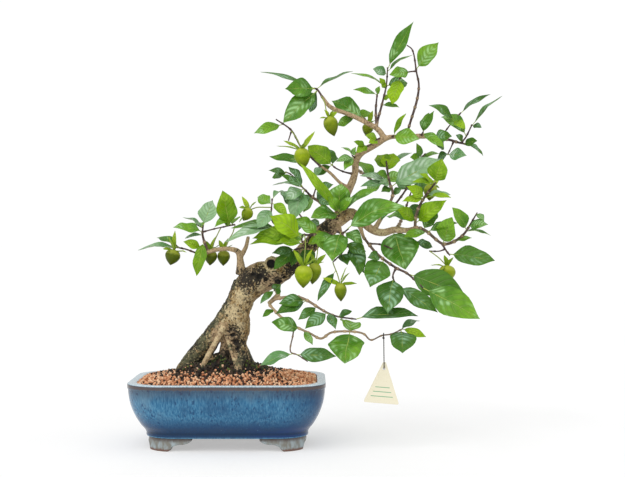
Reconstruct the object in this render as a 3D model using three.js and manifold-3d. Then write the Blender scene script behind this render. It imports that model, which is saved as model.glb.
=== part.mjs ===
// A persimmon bonsai in a glazed rectangular pot. Millimetres, +Z up, the front facing -Y.
// The tree is laid out in a frame whose origin is the middle of the pot's footprint.
import * as THREE from "three";
import { mergeVertices } from "three/addons/utils/BufferGeometryUtils.js";
import Module from "manifold-3d";

const wasm = await Module();
wasm.setup();
const { Manifold } = wasm;

// Pot
const RIM_LENGTH = 260;
const RIM_WIDTH = 190;
const RIM_TOP = 88;
const FOOT_HEIGHT = 17;
const LIP_WIDTH = 12;
const WALL = 9;
const FLOOR_TOP = 26;
const CORNER_SHARE = 0.37; // corner radius as a share of half the length at that height
const SIDE_STEPS = 4; // segments in each rounded corner
const DRAIN_OFFSET = 45;
const DRAIN_RADIUS = 8;
const SCREEN_SIZE = 28;
const SCREEN_THICKNESS = 1.2;

// Soil
const SOIL_EDGE = 84;
const SOIL_RISE = 15;
const GRAIN_PITCH = 13.5;

// Clearances
const GAP = 0.3;
const SOIL_GAP = 0.4;

// Foliage
const BLADE_THICKNESS = 0.8;
const STALK_RADIUS = 0.9;
const TWIG_SIDES = 4;

// Tag and its cord
const TAG_THICKNESS = 1.5;
const CORD_RADIUS = 0.7;

const COLOURS = {
  glaze: 0x3f6f9a,
  soil: 0xb07a5c,
  bark: 0x8a7860,
  screen: 0x2c2c2c,
  bright: 0x86a81a,
  mid: 0x4f8a24,
  dark: 0x35631f,
  pale: 0x8fb886,
  fruit: 0x8fa018,
  tag: 0xf0e6cc,
  cord: 0x3a2c26,
};

// The layout is read off a front view: a place is [x, z, depth], where x and z are where it
// shows on the middle plane y = 0 from this viewpoint and depth is how far behind that plane it is.
const EYE = new THREE.Vector3(112.5, -1620, 276);
const seen = ([x, z, depth]) =>
  new THREE.Vector3(x, 0, z)
    .sub(EYE)
    .multiplyScalar(1 - depth / EYE.y)
    .add(EYE);

// A repeatable random number from 0 to 1 for a whole number.
function scatter(seed) {
  const wave = Math.sin(seed * 127.1 + 11.7) * 43758.5453;
  return wave - Math.floor(wave);
}

// One closed solid from rings of points, each ring counter-clockwise seen from the last ring.
function loft(rings) {
  const count = rings[0].length;
  const faces = [];
  for (let ring = 0; ring + 1 < rings.length; ring += 1) {
    for (let column = 0; column < count; column += 1) {
      const a = ring * count + column;
      const b = ring * count + ((column + 1) % count);
      faces.push(a, b, b + count, a, b + count, a + count);
    }
  }
  const last = (rings.length - 1) * count;
  for (let column = 1; column + 1 < count; column += 1) {
    faces.push(0, column + 1, column);
    faces.push(last, last + column, last + column + 1);
  }
  return solidFrom(rings.flat(), faces);
}

function solidFrom(points, faces) {
  return new Manifold(
    new wasm.Mesh({
      numProp: 3,
      vertProperties: new Float32Array(points.flatMap((point) => point.toArray())),
      triVerts: new Uint32Array(faces),
    }),
  );
}

function solidFromGeometry(geometry) {
  const bare = geometry.clone();
  bare.deleteAttribute("normal");
  bare.deleteAttribute("uv");
  const merged = mergeVertices(bare, 1e-3);
  return new Manifold(
    new wasm.Mesh({
      numProp: 3,
      vertProperties: new Float32Array(merged.attributes.position.array),
      triVerts: new Uint32Array(merged.index.array),
    }),
  );
}

function largestBody(solid) {
  const bodies = solid.decompose();
  bodies.sort((a, b) => b.volume() - a.volume());
  return bodies[0];
}

const group = new THREE.Group();

function addNode(name, solid, colour) {
  const data = solid.getMesh();
  const positions = new Float32Array(data.numVert * 3);
  for (let vertex = 0; vertex < data.numVert; vertex += 1) {
    const start = vertex * data.numProp;
    positions.set(data.vertProperties.subarray(start, start + 3), vertex * 3);
  }
  const geometry = new THREE.BufferGeometry();
  geometry.setAttribute("position", new THREE.BufferAttribute(positions, 3));
  geometry.setIndex(new THREE.BufferAttribute(new Uint32Array(data.triVerts), 1));
  geometry.computeVertexNormals();
  const mesh = new THREE.Mesh(geometry, new THREE.MeshStandardMaterial({ color: colour }));
  mesh.name = name;
  group.add(mesh);
}

// Pot

const WIDTH_LOSS = (RIM_LENGTH - RIM_WIDTH) / 2;

// The pot's outline at one height, for a half length.
function potOutline(halfLength, z) {
  const halfWidth = halfLength - WIDTH_LOSS;
  const radius = halfLength * CORNER_SHARE;
  const corners = [
    [1, -1, -90],
    [1, 1, 0],
    [-1, 1, 90],
    [-1, -1, 180],
  ];
  const points = [];
  for (const [sideX, sideY, first] of corners) {
    for (let step = 0; step <= SIDE_STEPS; step += 1) {
      const angle = THREE.MathUtils.degToRad(first + (90 * step) / SIDE_STEPS);
      points.push(
        new THREE.Vector3(
          sideX * (halfLength - radius) + radius * Math.cos(angle),
          sideY * (halfWidth - radius) + radius * Math.sin(angle),
          z,
        ),
      );
    }
  }
  return points;
}

const RIM_HALF = RIM_LENGTH / 2;
const LIP_HALF = RIM_HALF - LIP_WIDTH;
const OUTSIDE = [
  [103, FOOT_HEIGHT],
  [106.5, FOOT_HEIGHT + 2],
  [106.9, 23],
  [112.6, 31],
  [120.3, 44.5],
  [126.1, 60],
  [129, 75],
  [RIM_HALF, RIM_TOP - 3],
  [RIM_HALF - 1.5, RIM_TOP],
];
const INSIDE = [
  [LIP_HALF + 1.5, RIM_TOP],
  [LIP_HALF, RIM_TOP - 3],
  [129 - WALL, 75],
  [120.3 - WALL, 44.5],
  [98, FLOOR_TOP],
];

// One foot, at the front right corner: two arms with a stepped cloud profile, rounded outside.
function cornerFoot() {
  const profile = new THREE.Shape();
  profile.moveTo(0, -1);
  profile.lineTo(27, -1);
  profile.quadraticCurveTo(31, 1, 33, 5);
  profile.quadraticCurveTo(38, 9, 47, 9);
  profile.quadraticCurveTo(55, 9.5, 60, 14);
  profile.lineTo(60, FOOT_HEIGHT + 1.4);
  profile.lineTo(0, FOOT_HEIGHT + 1.4);
  const armDepth = 13;
  const arm = new THREE.ExtrudeGeometry(profile, {
    depth: armDepth,
    bevelEnabled: false,
    curveSegments: 2,
  });
  arm.rotateX(Math.PI / 2);
  const along = solidFromGeometry(arm);
  const footHalf = 104;
  const footSide = footHalf - WIDTH_LOSS;
  const front = along.mirror([1, 0, 0]).translate([footHalf, -footSide + armDepth, 0]);
  const side = along
    .rotate([0, 0, 90])
    .scale([1, 0.72, 1])
    .translate([footHalf - armDepth, -footSide, 0]);
  const outline = loft([potOutline(footHalf, 0), potOutline(footHalf, FOOT_HEIGHT + 1.4)]);
  return front.add(side).intersect(outline);
}

const foot = cornerFoot();
const feet = [
  foot,
  foot.mirror([1, 0, 0]),
  foot.mirror([0, 1, 0]),
  foot.mirror([1, 0, 0]).mirror([0, 1, 0]),
];
const drains = [-1, 1].map((side) =>
  Manifold.cylinder(FLOOR_TOP, DRAIN_RADIUS, DRAIN_RADIUS, 16).translate([
    side * DRAIN_OFFSET,
    0,
    5,
  ]),
);
const potShell = loft([...OUTSIDE, ...INSIDE].map(([half, z]) => potOutline(half, z)));
const pot = Manifold.union([potShell, ...feet]).subtract(Manifold.union(drains));
addNode("pot", pot, COLOURS.glaze);

// A plastic screen over each drain hole, with square openings.
function drainScreen(side) {
  const openings = [];
  const pitch = SCREEN_SIZE / 2.6;
  for (const across of [-0.5, 0.5]) {
    for (const along of [-0.5, 0.5]) {
      openings.push(
        Manifold.cube([pitch - 2, pitch - 2, 4], true).translate([across * pitch, along * pitch, 0]),
      );
    }
  }
  return Manifold.cube([SCREEN_SIZE, SCREEN_SIZE, SCREEN_THICKNESS], true)
    .subtract(Manifold.union(openings))
    .translate([side * DRAIN_OFFSET, 0, FLOOR_TOP + GAP + SCREEN_THICKNESS / 2]);
}
addNode("drain_screen_left", drainScreen(-1), COLOURS.screen);
addNode("drain_screen_right", drainScreen(1), COLOURS.screen);

// Wood

// A tapering limb through [x, z, depth, radius] places, with slightly uneven rings. `extra` is how
// far its surface stands off the plain limb's, at its flats and at both ends.
function limb(route, sides, extra = 0) {
  const places = route.map((place) => seen(place));
  const standoff = extra / Math.cos(Math.PI / sides);
  const last = places.length - 1;
  const firstStep = places[0].clone().sub(places[1]).setLength(extra);
  const lastStep = places[last].clone().sub(places[last - 1]).setLength(extra);
  places[0].add(firstStep);
  places[last].add(lastStep);
  let side = new THREE.Vector3(0, 1, 0);
  const rings = places.map((place, index) => {
    const before = places[Math.max(index - 1, 0)];
    const after = places[Math.min(index + 1, last)];
    const along = after.clone().sub(before).normalize();
    side = side.clone().addScaledVector(along, -side.dot(along)).normalize();
    const up = along.clone().cross(side);
    const radius = route[index][3];
    const ring = [];
    for (let step = 0; step < sides; step += 1) {
      const angle = (2 * Math.PI * step) / sides;
      const lump = radius > 3 ? 0.93 + 0.14 * scatter(index * 31 + step * 7 + radius) : 1;
      ring.push(
        place
          .clone()
          .addScaledVector(side, Math.cos(angle) * (radius * lump + standoff))
          .addScaledVector(up, Math.sin(angle) * (radius * lump + standoff)),
      );
    }
    return ring;
  });
  return loft(rings);
}

// Routes of [x, z, depth, radius], the trunk and the roots first.
const TRUNK = [
  [
    [20, 66, 4, 15], [19, 98, 4, 17], [14, 118, 4, 15], [9, 132, 4, 14.5], [10, 146, 3, 15.5],
    [12, 160, 2, 15.5], [11, 176, 0, 18], [14, 191, 0, 17.5], [22, 206, 0, 18.5],
    [34, 219, 0, 21], [47, 225, 0, 21], [61, 230, 0, 19], [77, 239, 0, 15.5], [92, 248, 2, 12.5],
    [106, 263, 4, 11], [120, 279, 4, 10.5], [135, 292, 2, 10], [150, 302, 0, 9],
    [164, 309, -3, 7.8], [180, 299, -8, 6.2], [194, 287, -12, 5.2], [208, 284, -15, 5],
    [224, 288, -18, 4.4], [240, 287, -22, 3.6], [256, 291, -26, 2.8],
  ],
  [
    [4, 182, 0, 13], [-10, 160, 2, 13], [-24, 143, 3, 12.5], [-40, 125, 4, 11.5],
    [-55, 108, 5, 10], [-67, 94, 6, 7.5], [-76, 76, 6, 3],
  ],
];
const ROOTS = [
  [[-7, 158, -11, 4.2], [-19, 135, -17, 3.7], [-29, 117, -21, 3.6], [-37, 99, -24, 3.6], [-41, 80, -27, 2.5]],
  [[-6, 150, -8, 3], [-1, 135, -12, 2.6], [4, 120, -16, 2.4], [10, 98, -20, 2.4], [12, 80, -22, 2]],
  [[24, 124, 4, 10], [34, 108, 0, 8.5], [45, 95, -4, 6], [58, 78, -8, 3]],
  [[14, 130, -2, 9], [14, 112, -14, 8], [12, 97, -26, 6], [10, 78, -36, 3]],
  [[14, 136, 8, 10], [12, 112, 22, 8], [8, 95, 36, 6], [4, 76, 48, 3]],
  [[-20, 140, 8, 9], [-32, 116, 24, 7], [-44, 95, 40, 5], [-52, 76, 52, 3]],
  [[6, 118, 8, 10], [-10, 111, 8, 10], [-26, 102, 6, 9], [-40, 92, 0, 6]],
];
const BRANCHES = [
  // upper trunk, the short branch to its right with a burr at its end, the upper left branch
  [
    [144, 299, 4, 8], [152, 318, 8, 6.5], [158, 335, 10, 5.8], [165, 350, 10, 5.3],
    [170, 365, 9, 4.6], [171, 380, 8, 4.8], [177, 391, 7, 5.2], [192, 400, 4, 4.8],
    [206, 409, 2, 4.6], [212, 415, 2, 3.6],
  ],
  [[206, 409, 2, 4.2], [218, 413, 2, 3.2], [244, 413, 8, 2.4], [254, 414, 10, 3.8], [267, 414, 10, 3.2]],
  [
    [210, 411, 2, 4.2], [200, 424, 2, 3.8], [186, 432, 1, 3.4], [170, 440, 0, 3.3],
    [155, 446, -2, 3], [143, 450, -3, 3.2], [134, 456, -4, 2.8], [126, 467, -5, 2.1],
  ],
  // left branch and its second stem
  [
    [16, 228, -3, 7.5], [15, 246, -6, 4.8], [12, 258, -7, 4], [0, 262, -10, 3.2],
    [-16, 261, -12, 3], [-30, 257, -14, 2.6], [-38, 253, -15, 2.4],
  ],
  [[14, 250, -6, 4], [22, 263, -4, 3], [26, 279, -2, 2.4]],
  // starts of the twigs that carry the leafy stems
  [[138, 294, -2, 4.5], [146, 289, -16, 2.2], [142, 282, -22, 1.8]],
  [[136, 292, 6, 5.5], [132, 312, 4, 4], [123, 327, 2, 3.2]],
  [[162, 343, 10, 3.6], [150, 351, 10, 2.4], [137, 364, 8, 2.2], [123, 374, 5, 1.8]],
  [[196, 288, -12, 3.8], [206, 305, 0, 2.8], [216, 322, 8, 2.4]],
  [[172, 303, -6, 5], [178, 288, -14, 2.8], [182, 276, -22, 2.2]],
  [[146, 298, -2, 4], [151, 283, -14, 2.4]],
  [[58, 220, -8, 6], [63, 209, -15, 4], [66, 201, -21, 3.4], [60, 194, -26, 3.2], [53, 188, -30, 2.8]],
];

function allWood(extra) {
  return Manifold.union([
    ...TRUNK.map((route) => limb(route, 10, extra)),
    ...ROOTS.map((route) => limb(route, 6, extra)),
    ...BRANCHES.map((route) => limb(route, 5, extra)),
  ]);
}

// The healed cut on the front of the limb: a raised ring round a hollow.
const KNOT = seen([57, 242, -8]);
const knotRing = Manifold.cylinder(9, 8.6, 7.2, 12).rotate([90, 0, 0]).translate(KNOT.toArray());
const knotHollow = Manifold.cylinder(14, 5.2, 5.2, 12)
  .rotate([90, 0, 0])
  .translate([KNOT.x, KNOT.y + 1, KNOT.z]);
const wood = largestBody(allWood(0).add(knotRing).subtract(knotHollow));
const woodClearance = allWood(GAP);
addNode("tree_wood", wood, COLOURS.bark);

// Soil

function soilHeight(x, y) {
  const away = (x / 125) ** 4;
  const across = (y / 92) ** 2;
  return SOIL_EDGE + SOIL_RISE * (1 - away) * (1 - across);
}

// A field of coarse grains: every third point of a triangular lattice stands up.
function grainField() {
  const columns = Math.ceil((RIM_LENGTH + 2 * GRAIN_PITCH) / GRAIN_PITCH);
  const rowPitch = (GRAIN_PITCH * Math.sqrt(3)) / 2;
  const rows = Math.ceil((RIM_WIDTH + 2 * GRAIN_PITCH) / rowPitch);
  const tops = [];
  const bases = [];
  for (let row = 0; row < rows; row += 1) {
    for (let column = 0; column < columns; column += 1) {
      const x = (column - columns / 2 + (row % 2) / 2) * GRAIN_PITCH;
      const y = (row - rows / 2) * rowPitch;
      const diagonal = column - (row - (row % 2)) / 2;
      const isGrain = (((diagonal - row) % 3) + 3) % 3 === 0;
      const chance = scatter(row * 57 + column);
      const bump = isGrain ? 1.4 + 1.4 * chance : -1.2 * chance;
      tops.push(new THREE.Vector3(x, y, soilHeight(x, y) + bump));
      bases.push(new THREE.Vector3(x, y, 0));
    }
  }
  const shift = tops.length;
  const faces = [];
  const addPair = (a, b, c) => {
    faces.push(a, b, c);
    faces.push(a + shift, c + shift, b + shift);
  };
  const addSide = (a, b) => faces.push(a, a + shift, b, b, a + shift, b + shift);
  for (let row = 0; row + 1 < rows; row += 1) {
    for (let column = 0; column + 1 < columns; column += 1) {
      const a = row * columns + column;
      const above = a + columns;
      if (row % 2 === 0) {
        addPair(a, a + 1, above);
        addPair(a + 1, above + 1, above);
      } else {
        addPair(a, above + 1, above);
        addPair(a, a + 1, above + 1);
      }
    }
    addSide((row + 1) * columns, row * columns);
    addSide((row + 1) * columns - 1, (row + 2) * columns - 1);
  }
  for (let column = 0; column + 1 < columns; column += 1) {
    addSide(column, column + 1);
    addSide((rows - 1) * columns + column + 1, (rows - 1) * columns + column);
  }
  return solidFrom([...tops, ...bases], faces);
}

const soilSpace = loft(
  [
    [98 - SOIL_GAP, FLOOR_TOP + SOIL_GAP],
    [120.3 - WALL - SOIL_GAP, 44.5],
    [129 - WALL - SOIL_GAP, 75 - SOIL_GAP],
    [LIP_HALF - SOIL_GAP, RIM_TOP - 3 - SOIL_GAP],
    [LIP_HALF - SOIL_GAP, RIM_TOP + 30],
  ].map(([half, z]) => potOutline(half, z)),
);
const screenRecesses = [-1, 1].map((side) => {
  const size = SCREEN_SIZE + 2 * GAP;
  return Manifold.cube([size, size, SCREEN_THICKNESS + 3 * GAP], true).translate([
    side * DRAIN_OFFSET,
    0,
    FLOOR_TOP + GAP + SCREEN_THICKNESS / 2,
  ]);
});
const soil = largestBody(
  soilSpace.intersect(grainField()).subtract(Manifold.union([woodClearance, ...screenRecesses])),
);
addNode("soil", soil, COLOURS.soil);

// Leaves

// A thin solid: one sheet of triangles, the same sheet turned over `offset` below it, and a rim.
function thickSheet(points, triangles, offset) {
  const count = points.length;
  const faces = [];
  const edges = new Set();
  for (const [a, b, c] of triangles) {
    faces.push(a, b, c, a + count, c + count, b + count);
    for (const [from, to] of [[a, b], [b, c], [c, a]]) edges.add(from * count + to);
  }
  for (const edge of edges) {
    const from = Math.floor(edge / count);
    const to = edge % count;
    if (edges.has(to * count + from)) continue;
    faces.push(to, from, from + count, to, from + count, to + count);
  }
  return solidFrom([...points, ...points.map((point) => point.clone().sub(offset))], faces);
}

// The triangles of a sheet that opens from one point into rows and closes to one point.
function sheetTriangles(rows, width) {
  const tip = 1 + rows * width;
  const triangles = [];
  for (let column = 0; column + 1 < width; column += 1) {
    triangles.push([0, column + 2, column + 1]);
    for (let row = 0; row + 1 < rows; row += 1) {
      const left = 1 + row * width + column;
      const nextLeft = left + width;
      if (column === 0) triangles.push([left + 1, nextLeft + 1, left], [left, nextLeft + 1, nextLeft]);
      else triangles.push([left + 1, nextLeft + 1, nextLeft], [left + 1, nextLeft, left]);
    }
    const last = 1 + (rows - 1) * width + column;
    triangles.push([last + 1, tip, last]);
  }
  return triangles;
}

const LONG_LEAF = 50;
const SHORT_LEAF = 30;
const LONG_ROWS = [[0.19, 0.38], [0.47, 1], [0.78, 0.66]]; // share of the length, share of the width
const SHORT_ROWS = [[0.3, 0.84], [0.68, 0.86]];
const LOBE_ROWS = [[0.55, 1]];
const FOLD = 0.24; // rise of the blade's edge over its midrib, per half width
const WAVE = 0.13; // wave of the blade's edge, per half width
let leafCount = 0;

// A blade from `base` to `tip`. `width` is its widest part; `roll` turns its upper face from the
// viewer (0) to the sky (90) and away (180); `bend` lifts its middle towards the upper face.
function blade(base, tip, width, roll, bend, rows, hasMidrib) {
  leafCount += 1;
  const phase = 6.28 * scatter(leafCount);
  const start = seen(base);
  const axis = seen(tip).sub(start);
  const along = axis.clone().normalize();
  const toEye = EYE.clone().sub(start).normalize();
  const sky = along.clone().cross(toEye).normalize();
  const towardsSky = Math.abs(sky.z) > 0.05 ? Math.sign(sky.z) : Math.sign(sky.x);
  sky.multiplyScalar(towardsSky);
  const front = toEye.addScaledVector(along, -toEye.dot(along)).normalize();
  const turn = THREE.MathUtils.degToRad(roll);
  const face = front.multiplyScalar(Math.cos(turn)).addScaledVector(sky, Math.sin(turn));
  const across = face.clone().cross(along);
  const offset = face.clone().multiplyScalar(BLADE_THICKNESS);
  const upper = offset.clone().multiplyScalar(0.5);
  const points = [start.clone().add(upper)];
  for (const [share, spread] of rows) {
    const half = (width / 2) * spread;
    const middle = start
      .clone()
      .add(upper)
      .addScaledVector(axis, share)
      .addScaledVector(face, bend * 4 * share * (1 - share));
    for (const side of hasMidrib ? [1, 0, -1] : [1, -1]) {
      const wave = WAVE * Math.sin(phase + share * 11 + side);
      const lift = side === 0 ? 0 : half * (FOLD + wave);
      points.push(middle.clone().addScaledVector(across, side * half).addScaledVector(face, lift));
    }
  }
  points.push(start.clone().add(upper).add(axis));
  return thickSheet(points, sheetTriangles(rows.length, hasMidrib ? 3 : 2), offset);
}

function leaf(base, tip, width, roll, bend) {
  const length = seen(base).distanceTo(seen(tip));
  const rows = length > LONG_LEAF ? LONG_ROWS : SHORT_ROWS;
  return blade(base, tip, width, roll, bend, rows, length > SHORT_LEAF);
}

// Twigs of [x, z, depth, radius] places with their leaves, kept clear of the wood they grow from.
const twigClearances = [];
function leafyStem(name, tone, twigs, leaves) {
  const parts = [...twigs.map((route) => limb(route, TWIG_SIDES)), ...leaves];
  twigClearances.push(...twigs.map((route) => limb(route, TWIG_SIDES, GAP)));
  const whole = Manifold.union(parts).subtract(woodClearance);
  addNode(name, largestBody(whole), COLOURS[tone]);
}

// Leafy stems

// Left branch
leafyStem("stem_left_tip", "mid", [
  [[-37, 254, -15, 1.8], [-46, 257, -17, 1.4], [-60, 262, -20, 1.2], [-74, 264.5, -22, 1]],
  [[-60, 262, -20, 1], [-66, 263, -16, 1], [-72, 267, -13, 1]],
], [
  leaf([-66, 263, -16], [-124, 260, -20], 22, 78, 4),
  leaf([-71, 266, -13], [-98, 277, 6], 18, 60, 3),
]);
leafyStem("stem_left_shoot", "mid", [
  [[-28, 257, -13, 2.2], [-33, 270, -15, 2], [-36, 282, -16, 1.6], [-35, 294, -16, 1.1]],
  [[-35, 285, -16, 1.2], [-20, 289, -18, 1], [-6, 292, -20, 1], [8, 295, -22, 1]],
], [
  leaf([-34, 272, -15], [-44, 225, -27], 15, 10, 5),
  leaf([-36, 285, -16], [-76, 291, -30], 20, 50, 3),
  leaf([-35, 291, -16], [-63, 305, -4], 15, 78, 2),
  leaf([-35, 293, -16], [-22, 328, -8], 25, 15, 2),
  leaf([-35, 289, -16], [-50, 296, 14], 17, 60, 3),
  leaf([-1, 293, -21], [-9, 341, -34], 28, 15, 4),
  leaf([3, 294, -21], [14, 304, 6], 16, 60, 3),
]);

// Left middle, in front of the trunk
leafyStem("stem_mid_left", "bright", [
  [
    [143, 282, -21, 1.7], [120, 281, -26, 1.7], [100, 281, -28, 1.5], [84, 284, -34, 1.3],
    [68, 290, -38, 1.2], [58, 300, -38, 1.1], [58, 330, -38, 1],
  ],
  [[99, 281, -28, 1.3], [98, 275, -37, 1.2], [100, 268, -44, 1]],
], [
  leaf([136, 281, -22], [106, 268, -10], 20, 45, 3),
  leaf([66, 291, -38], [2, 290, -26], 22, 62, 3),
  leaf([64, 293, -38], [-5, 271, -50], 24, 60, 4),
  leaf([58, 316, -38], [38, 290, -46], 19, 15, 2),
  leaf([58, 322, -38], [38, 332, -26], 17, 25, 2),
  leaf([58, 324, -38], [79, 308, -46], 14, 20, 2),
  leaf([58, 329, -38], [78, 338, -26], 15, 78, 5),
  leaf([98, 277, -35], [54, 307, -58], 32, 25, 4),
  leaf([99, 272, -40], [27, 268, -48], 28, 55, 5),
  leaf([100, 269, -43], [63, 270, -66], 20, 55, 2),
]);
leafyStem("stem_by_knot", "dark", [
  [[108, 264, 0, 2], [98, 263, -16, 1.6], [88, 261, -25, 1.2]],
], [
  leaf([89, 261, -24], [60, 234, -36], 16, 20, 2),
  leaf([89, 261, -24], [57, 256, -40], 13, 20, 2),
]);
leafyStem("stem_crown_left", "pale", [
  [[125, 324, 2, 2.4], [112, 332, -2, 2], [103, 341, -6, 1.4], [98, 346, -9, 1.1]],
  [[99, 345, -8, 1], [84, 362, 4, 1], [76, 366, 8, 1]],
  [[113, 331, -1, 1.3], [117, 344, 0, 1.1]],
], [
  leaf([102, 342, -7], [85, 299, -26], 26, 15, 4),
  leaf([100, 343, -8], [75, 328, -26], 19, 25, 3),
  leaf([100, 345, -8], [69, 362, -20], 13, 40, 2),
  leaf([99, 346, -8], [80, 373, -8], 16, 50, 2),
  leaf([99, 345, -8], [58, 348, 10], 16, 78, 4),
  leaf([78, 365, 7], [53, 368, 4], 11, 50, 1),
  leaf([78, 365, 7], [58, 358, 18], 14, 40, 1),
]);
leafyStem("stem_heart", "mid", [
  [[148, 302, -4, 1.8], [148, 313, -15, 1.4]],
], [
  leaf([148, 311, -14], [92, 381, -46], 18, 45, 6),
  leaf([148, 312, -15], [151, 350, -6], 33, 20, 3),
  leaf([148, 312, -15], [133, 333, -30], 17, 30, 2),
  leaf([148, 312, -15], [168, 332, -30], 15, 35, 2),
  leaf([148, 310, -14], [201, 343, -32], 22, 62, 4),
  leaf([148, 309, -12], [110, 304, -36], 26, 45, 3),
]);
leafyStem("stem_centre", "mid", [
  [[144, 286, -19, 1.5], [152, 283, -28, 1.4], [161, 289, -38, 1.1]],
], [
  leaf([159, 288, -36], [238, 314, -60], 34, 35, 14),
  leaf([155, 285, -32], [181, 269, -44], 20, 40, 2),
  leaf([151, 284, -27], [139, 245, -54], 32, 20, 4),
]);

// Top left
leafyStem("stem_top_left", "dark", [
  [[127, 465, -5, 1.7], [119, 477, -6, 1.4], [115, 479, -8, 1.1]],
], [
  leaf([116, 478, -8], [41, 501, -20], 18, 78, 3),
  leaf([117, 478, -7], [75, 478, -28], 22, 20, 2),
  leaf([119, 476, -6], [73, 432, -24], 33, 20, 3),
  leaf([118, 478, -7], [168, 502, 8], 16, 78, 3),
  leaf([119, 476, -6], [109, 446, 14], 18, 30, 2),
]);
leafyStem("stem_top_behind", "dark", [
  [[188, 431, 2, 1.4], [180, 440, 10, 1.2], [168, 439, 12, 1]],
], [
  leaf([182, 438, 8], [138, 462, 12], 28, 30, 4),
  leaf([170, 439, 12], [145, 428, 18], 15, 30, 2),
  leaf([170, 439, 12], [192, 446, 30], 14, 40, 2),
]);
leafyStem("stem_left_fork", "mid", [
  [
    [124, 373, 5, 1.6], [116, 380, 4, 1.4], [106, 391, 8, 1.2], [96, 401, 10, 1.1],
    [84, 422, 10, 1.3], [63, 437, 10, 1],
  ],
  [[84, 421, 10, 1.1], [80, 408, 8, 1]],
], [
  leaf([72, 430, 10], [33, 418, -6], 16, 25, 2),
  leaf([106, 391, 8], [54, 388, 24], 16, 50, 3),
]);
leafyStem("stem_behind_fruit", "dark", [
  [[168, 363, 8, 1.8], [155, 366, 6, 1.2], [144, 371, 5, 1.1], [138, 376, 12, 1]],
], [
  leaf([140, 374, 9], [106, 401, 24], 27, 15, 3),
  leaf([140, 374, 9], [134, 397, 34], 18, 30, 2),
  leaf([139, 375, 10], [113, 361, 20], 13, 20, 1),
]);
leafyStem("stem_trunk_left", "mid", [
  [[171, 384, 8, 1.4], [166, 388, -2, 1]],
], [
  leaf([168, 386, 1], [144, 380, -10], 12, 40, 1),
  leaf([167, 387, 0], [151, 399, -2], 9, 70, 3),
  leaf([168, 386, 1], [155, 368, -10], 13, 30, 1),
]);
leafyStem("stem_trunk_top", "bright", [
  [[204, 411, 2, 1.4], [200, 410, -8, 1.1], [188, 401, -9, 1.1], [179, 401, -8, 1]],
], [
  leaf([201, 410, -6], [188, 405, -18], 13, 20, 1),
  leaf([201, 410, -6], [183, 415, -2], 12, 40, 2),
  leaf([188, 401, -9], [171, 392, -14], 12, 30, 1),
]);

// Top
leafyStem("stem_apex", "mid", [
  [[199, 427, 1, 2.2], [198, 450, 2, 1.6], [200, 472, 2, 1]],
  [[199, 430, 2, 2], [206, 456, 5, 1.7], [212, 482, 8, 1.3], [214, 507, 8, 1]],
], [
  leaf([214, 505, 8], [249, 569, -4], 15, 30, 3),
  leaf([213, 498, 8], [194, 505, -2], 13, 25, 2),
  leaf([214, 502, 8], [248, 524, 26], 14, 75, 3),
  leaf([212, 481, 8], [164, 499, -4], 12, 78, 4),
  leaf([212, 482, 8], [240, 486, 26], 16, 40, 2),
  leaf([200, 470, 2], [167, 477, -8], 12, 50, 2),
  leaf([206, 456, 5], [230, 453, -8], 10, 50, 2),
]);
leafyStem("stem_upright", "bright", [
  [
    [240, 413, 7, 2.2], [242, 424, 6, 1.9], [254, 465, 6, 1.9], [256, 484, 6, 1.6],
    [253, 500, 4, 1.4], [247, 531, 4, 1.1], [240, 537, 4, 0.9],
  ],
  [[253, 502, 4, 1.1], [240, 500, -2, 1.1], [229, 491, -6, 1]],
], [
  leaf([231, 492, -5], [220, 457, -12], 19, 20, 2),
  leaf([244, 501, 0], [216, 497, -16], 14, 20, 2),
  leaf([253, 505, 4], [283, 541, -10], 25, 20, 3),
]);

// Upper right
leafyStem("stem_stub", "mid", [
  [[220, 413, 2, 1.4], [222, 415, -7, 1.1]],
], [
  leaf([221, 414, -3], [257, 410, -20], 23, 20, 3),
  leaf([222, 415, -6], [239, 445, -14], 11, 50, 2),
]);
leafyStem("stem_burr", "mid", [
  [[259, 415, 9, 1.4], [262, 420, 0, 1.1]],
], [
  leaf([261, 418, 4], [277, 449, -6], 11, 20, 2),
  leaf([261, 418, 4], [270, 446, 22], 14, 20, 2),
  leaf([261, 419, 2], [290, 399, -22], 14, 30, 2),
]);
leafyStem("stem_far_right", "dark", [
  [[266, 414, 10, 2.2], [284, 411, 10, 2.2], [298, 409, 10, 1.9], [308, 406, 10, 1.8], [321, 403, 9, 1.1]],
  [[313, 405, 10, 1.5], [319, 412, 10, 1.2], [328, 430, 10, 1]],
  [[286, 411, 10, 1.6], [292, 421, 8, 1.1], [303, 435, 6, 1], [313, 446, 5, 1]],
  [[303, 407, 10, 1.4], [300, 400, 8, 1], [295, 389, 2, 1]],
], [
  leaf([276, 412, 10], [301, 414, -10], 18, 25, 2),
  leaf([275, 413, 10], [290, 396, 28], 16, 40, 2),
  leaf([303, 435, 6], [269, 456, -8], 16, 45, 6),
  leaf([303, 435, 6], [319, 424, -16], 12, 25, 2),
  leaf([320, 414, 10], [286, 440, 20], 20, 30, 14),
  leaf([312, 445, 5], [353, 471, -4], 13, 60, 3),
  leaf([328, 429, 10], [369, 469, 24], 14, 72, 3),
  leaf([317, 404, 9], [335, 408, -8], 12, 25, 1),
  leaf([320, 403, 9], [343, 387, 14], 11, 60, 4),
  leaf([295, 389, 2], [321, 388, -14], 18, 25, 2),
]);

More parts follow.
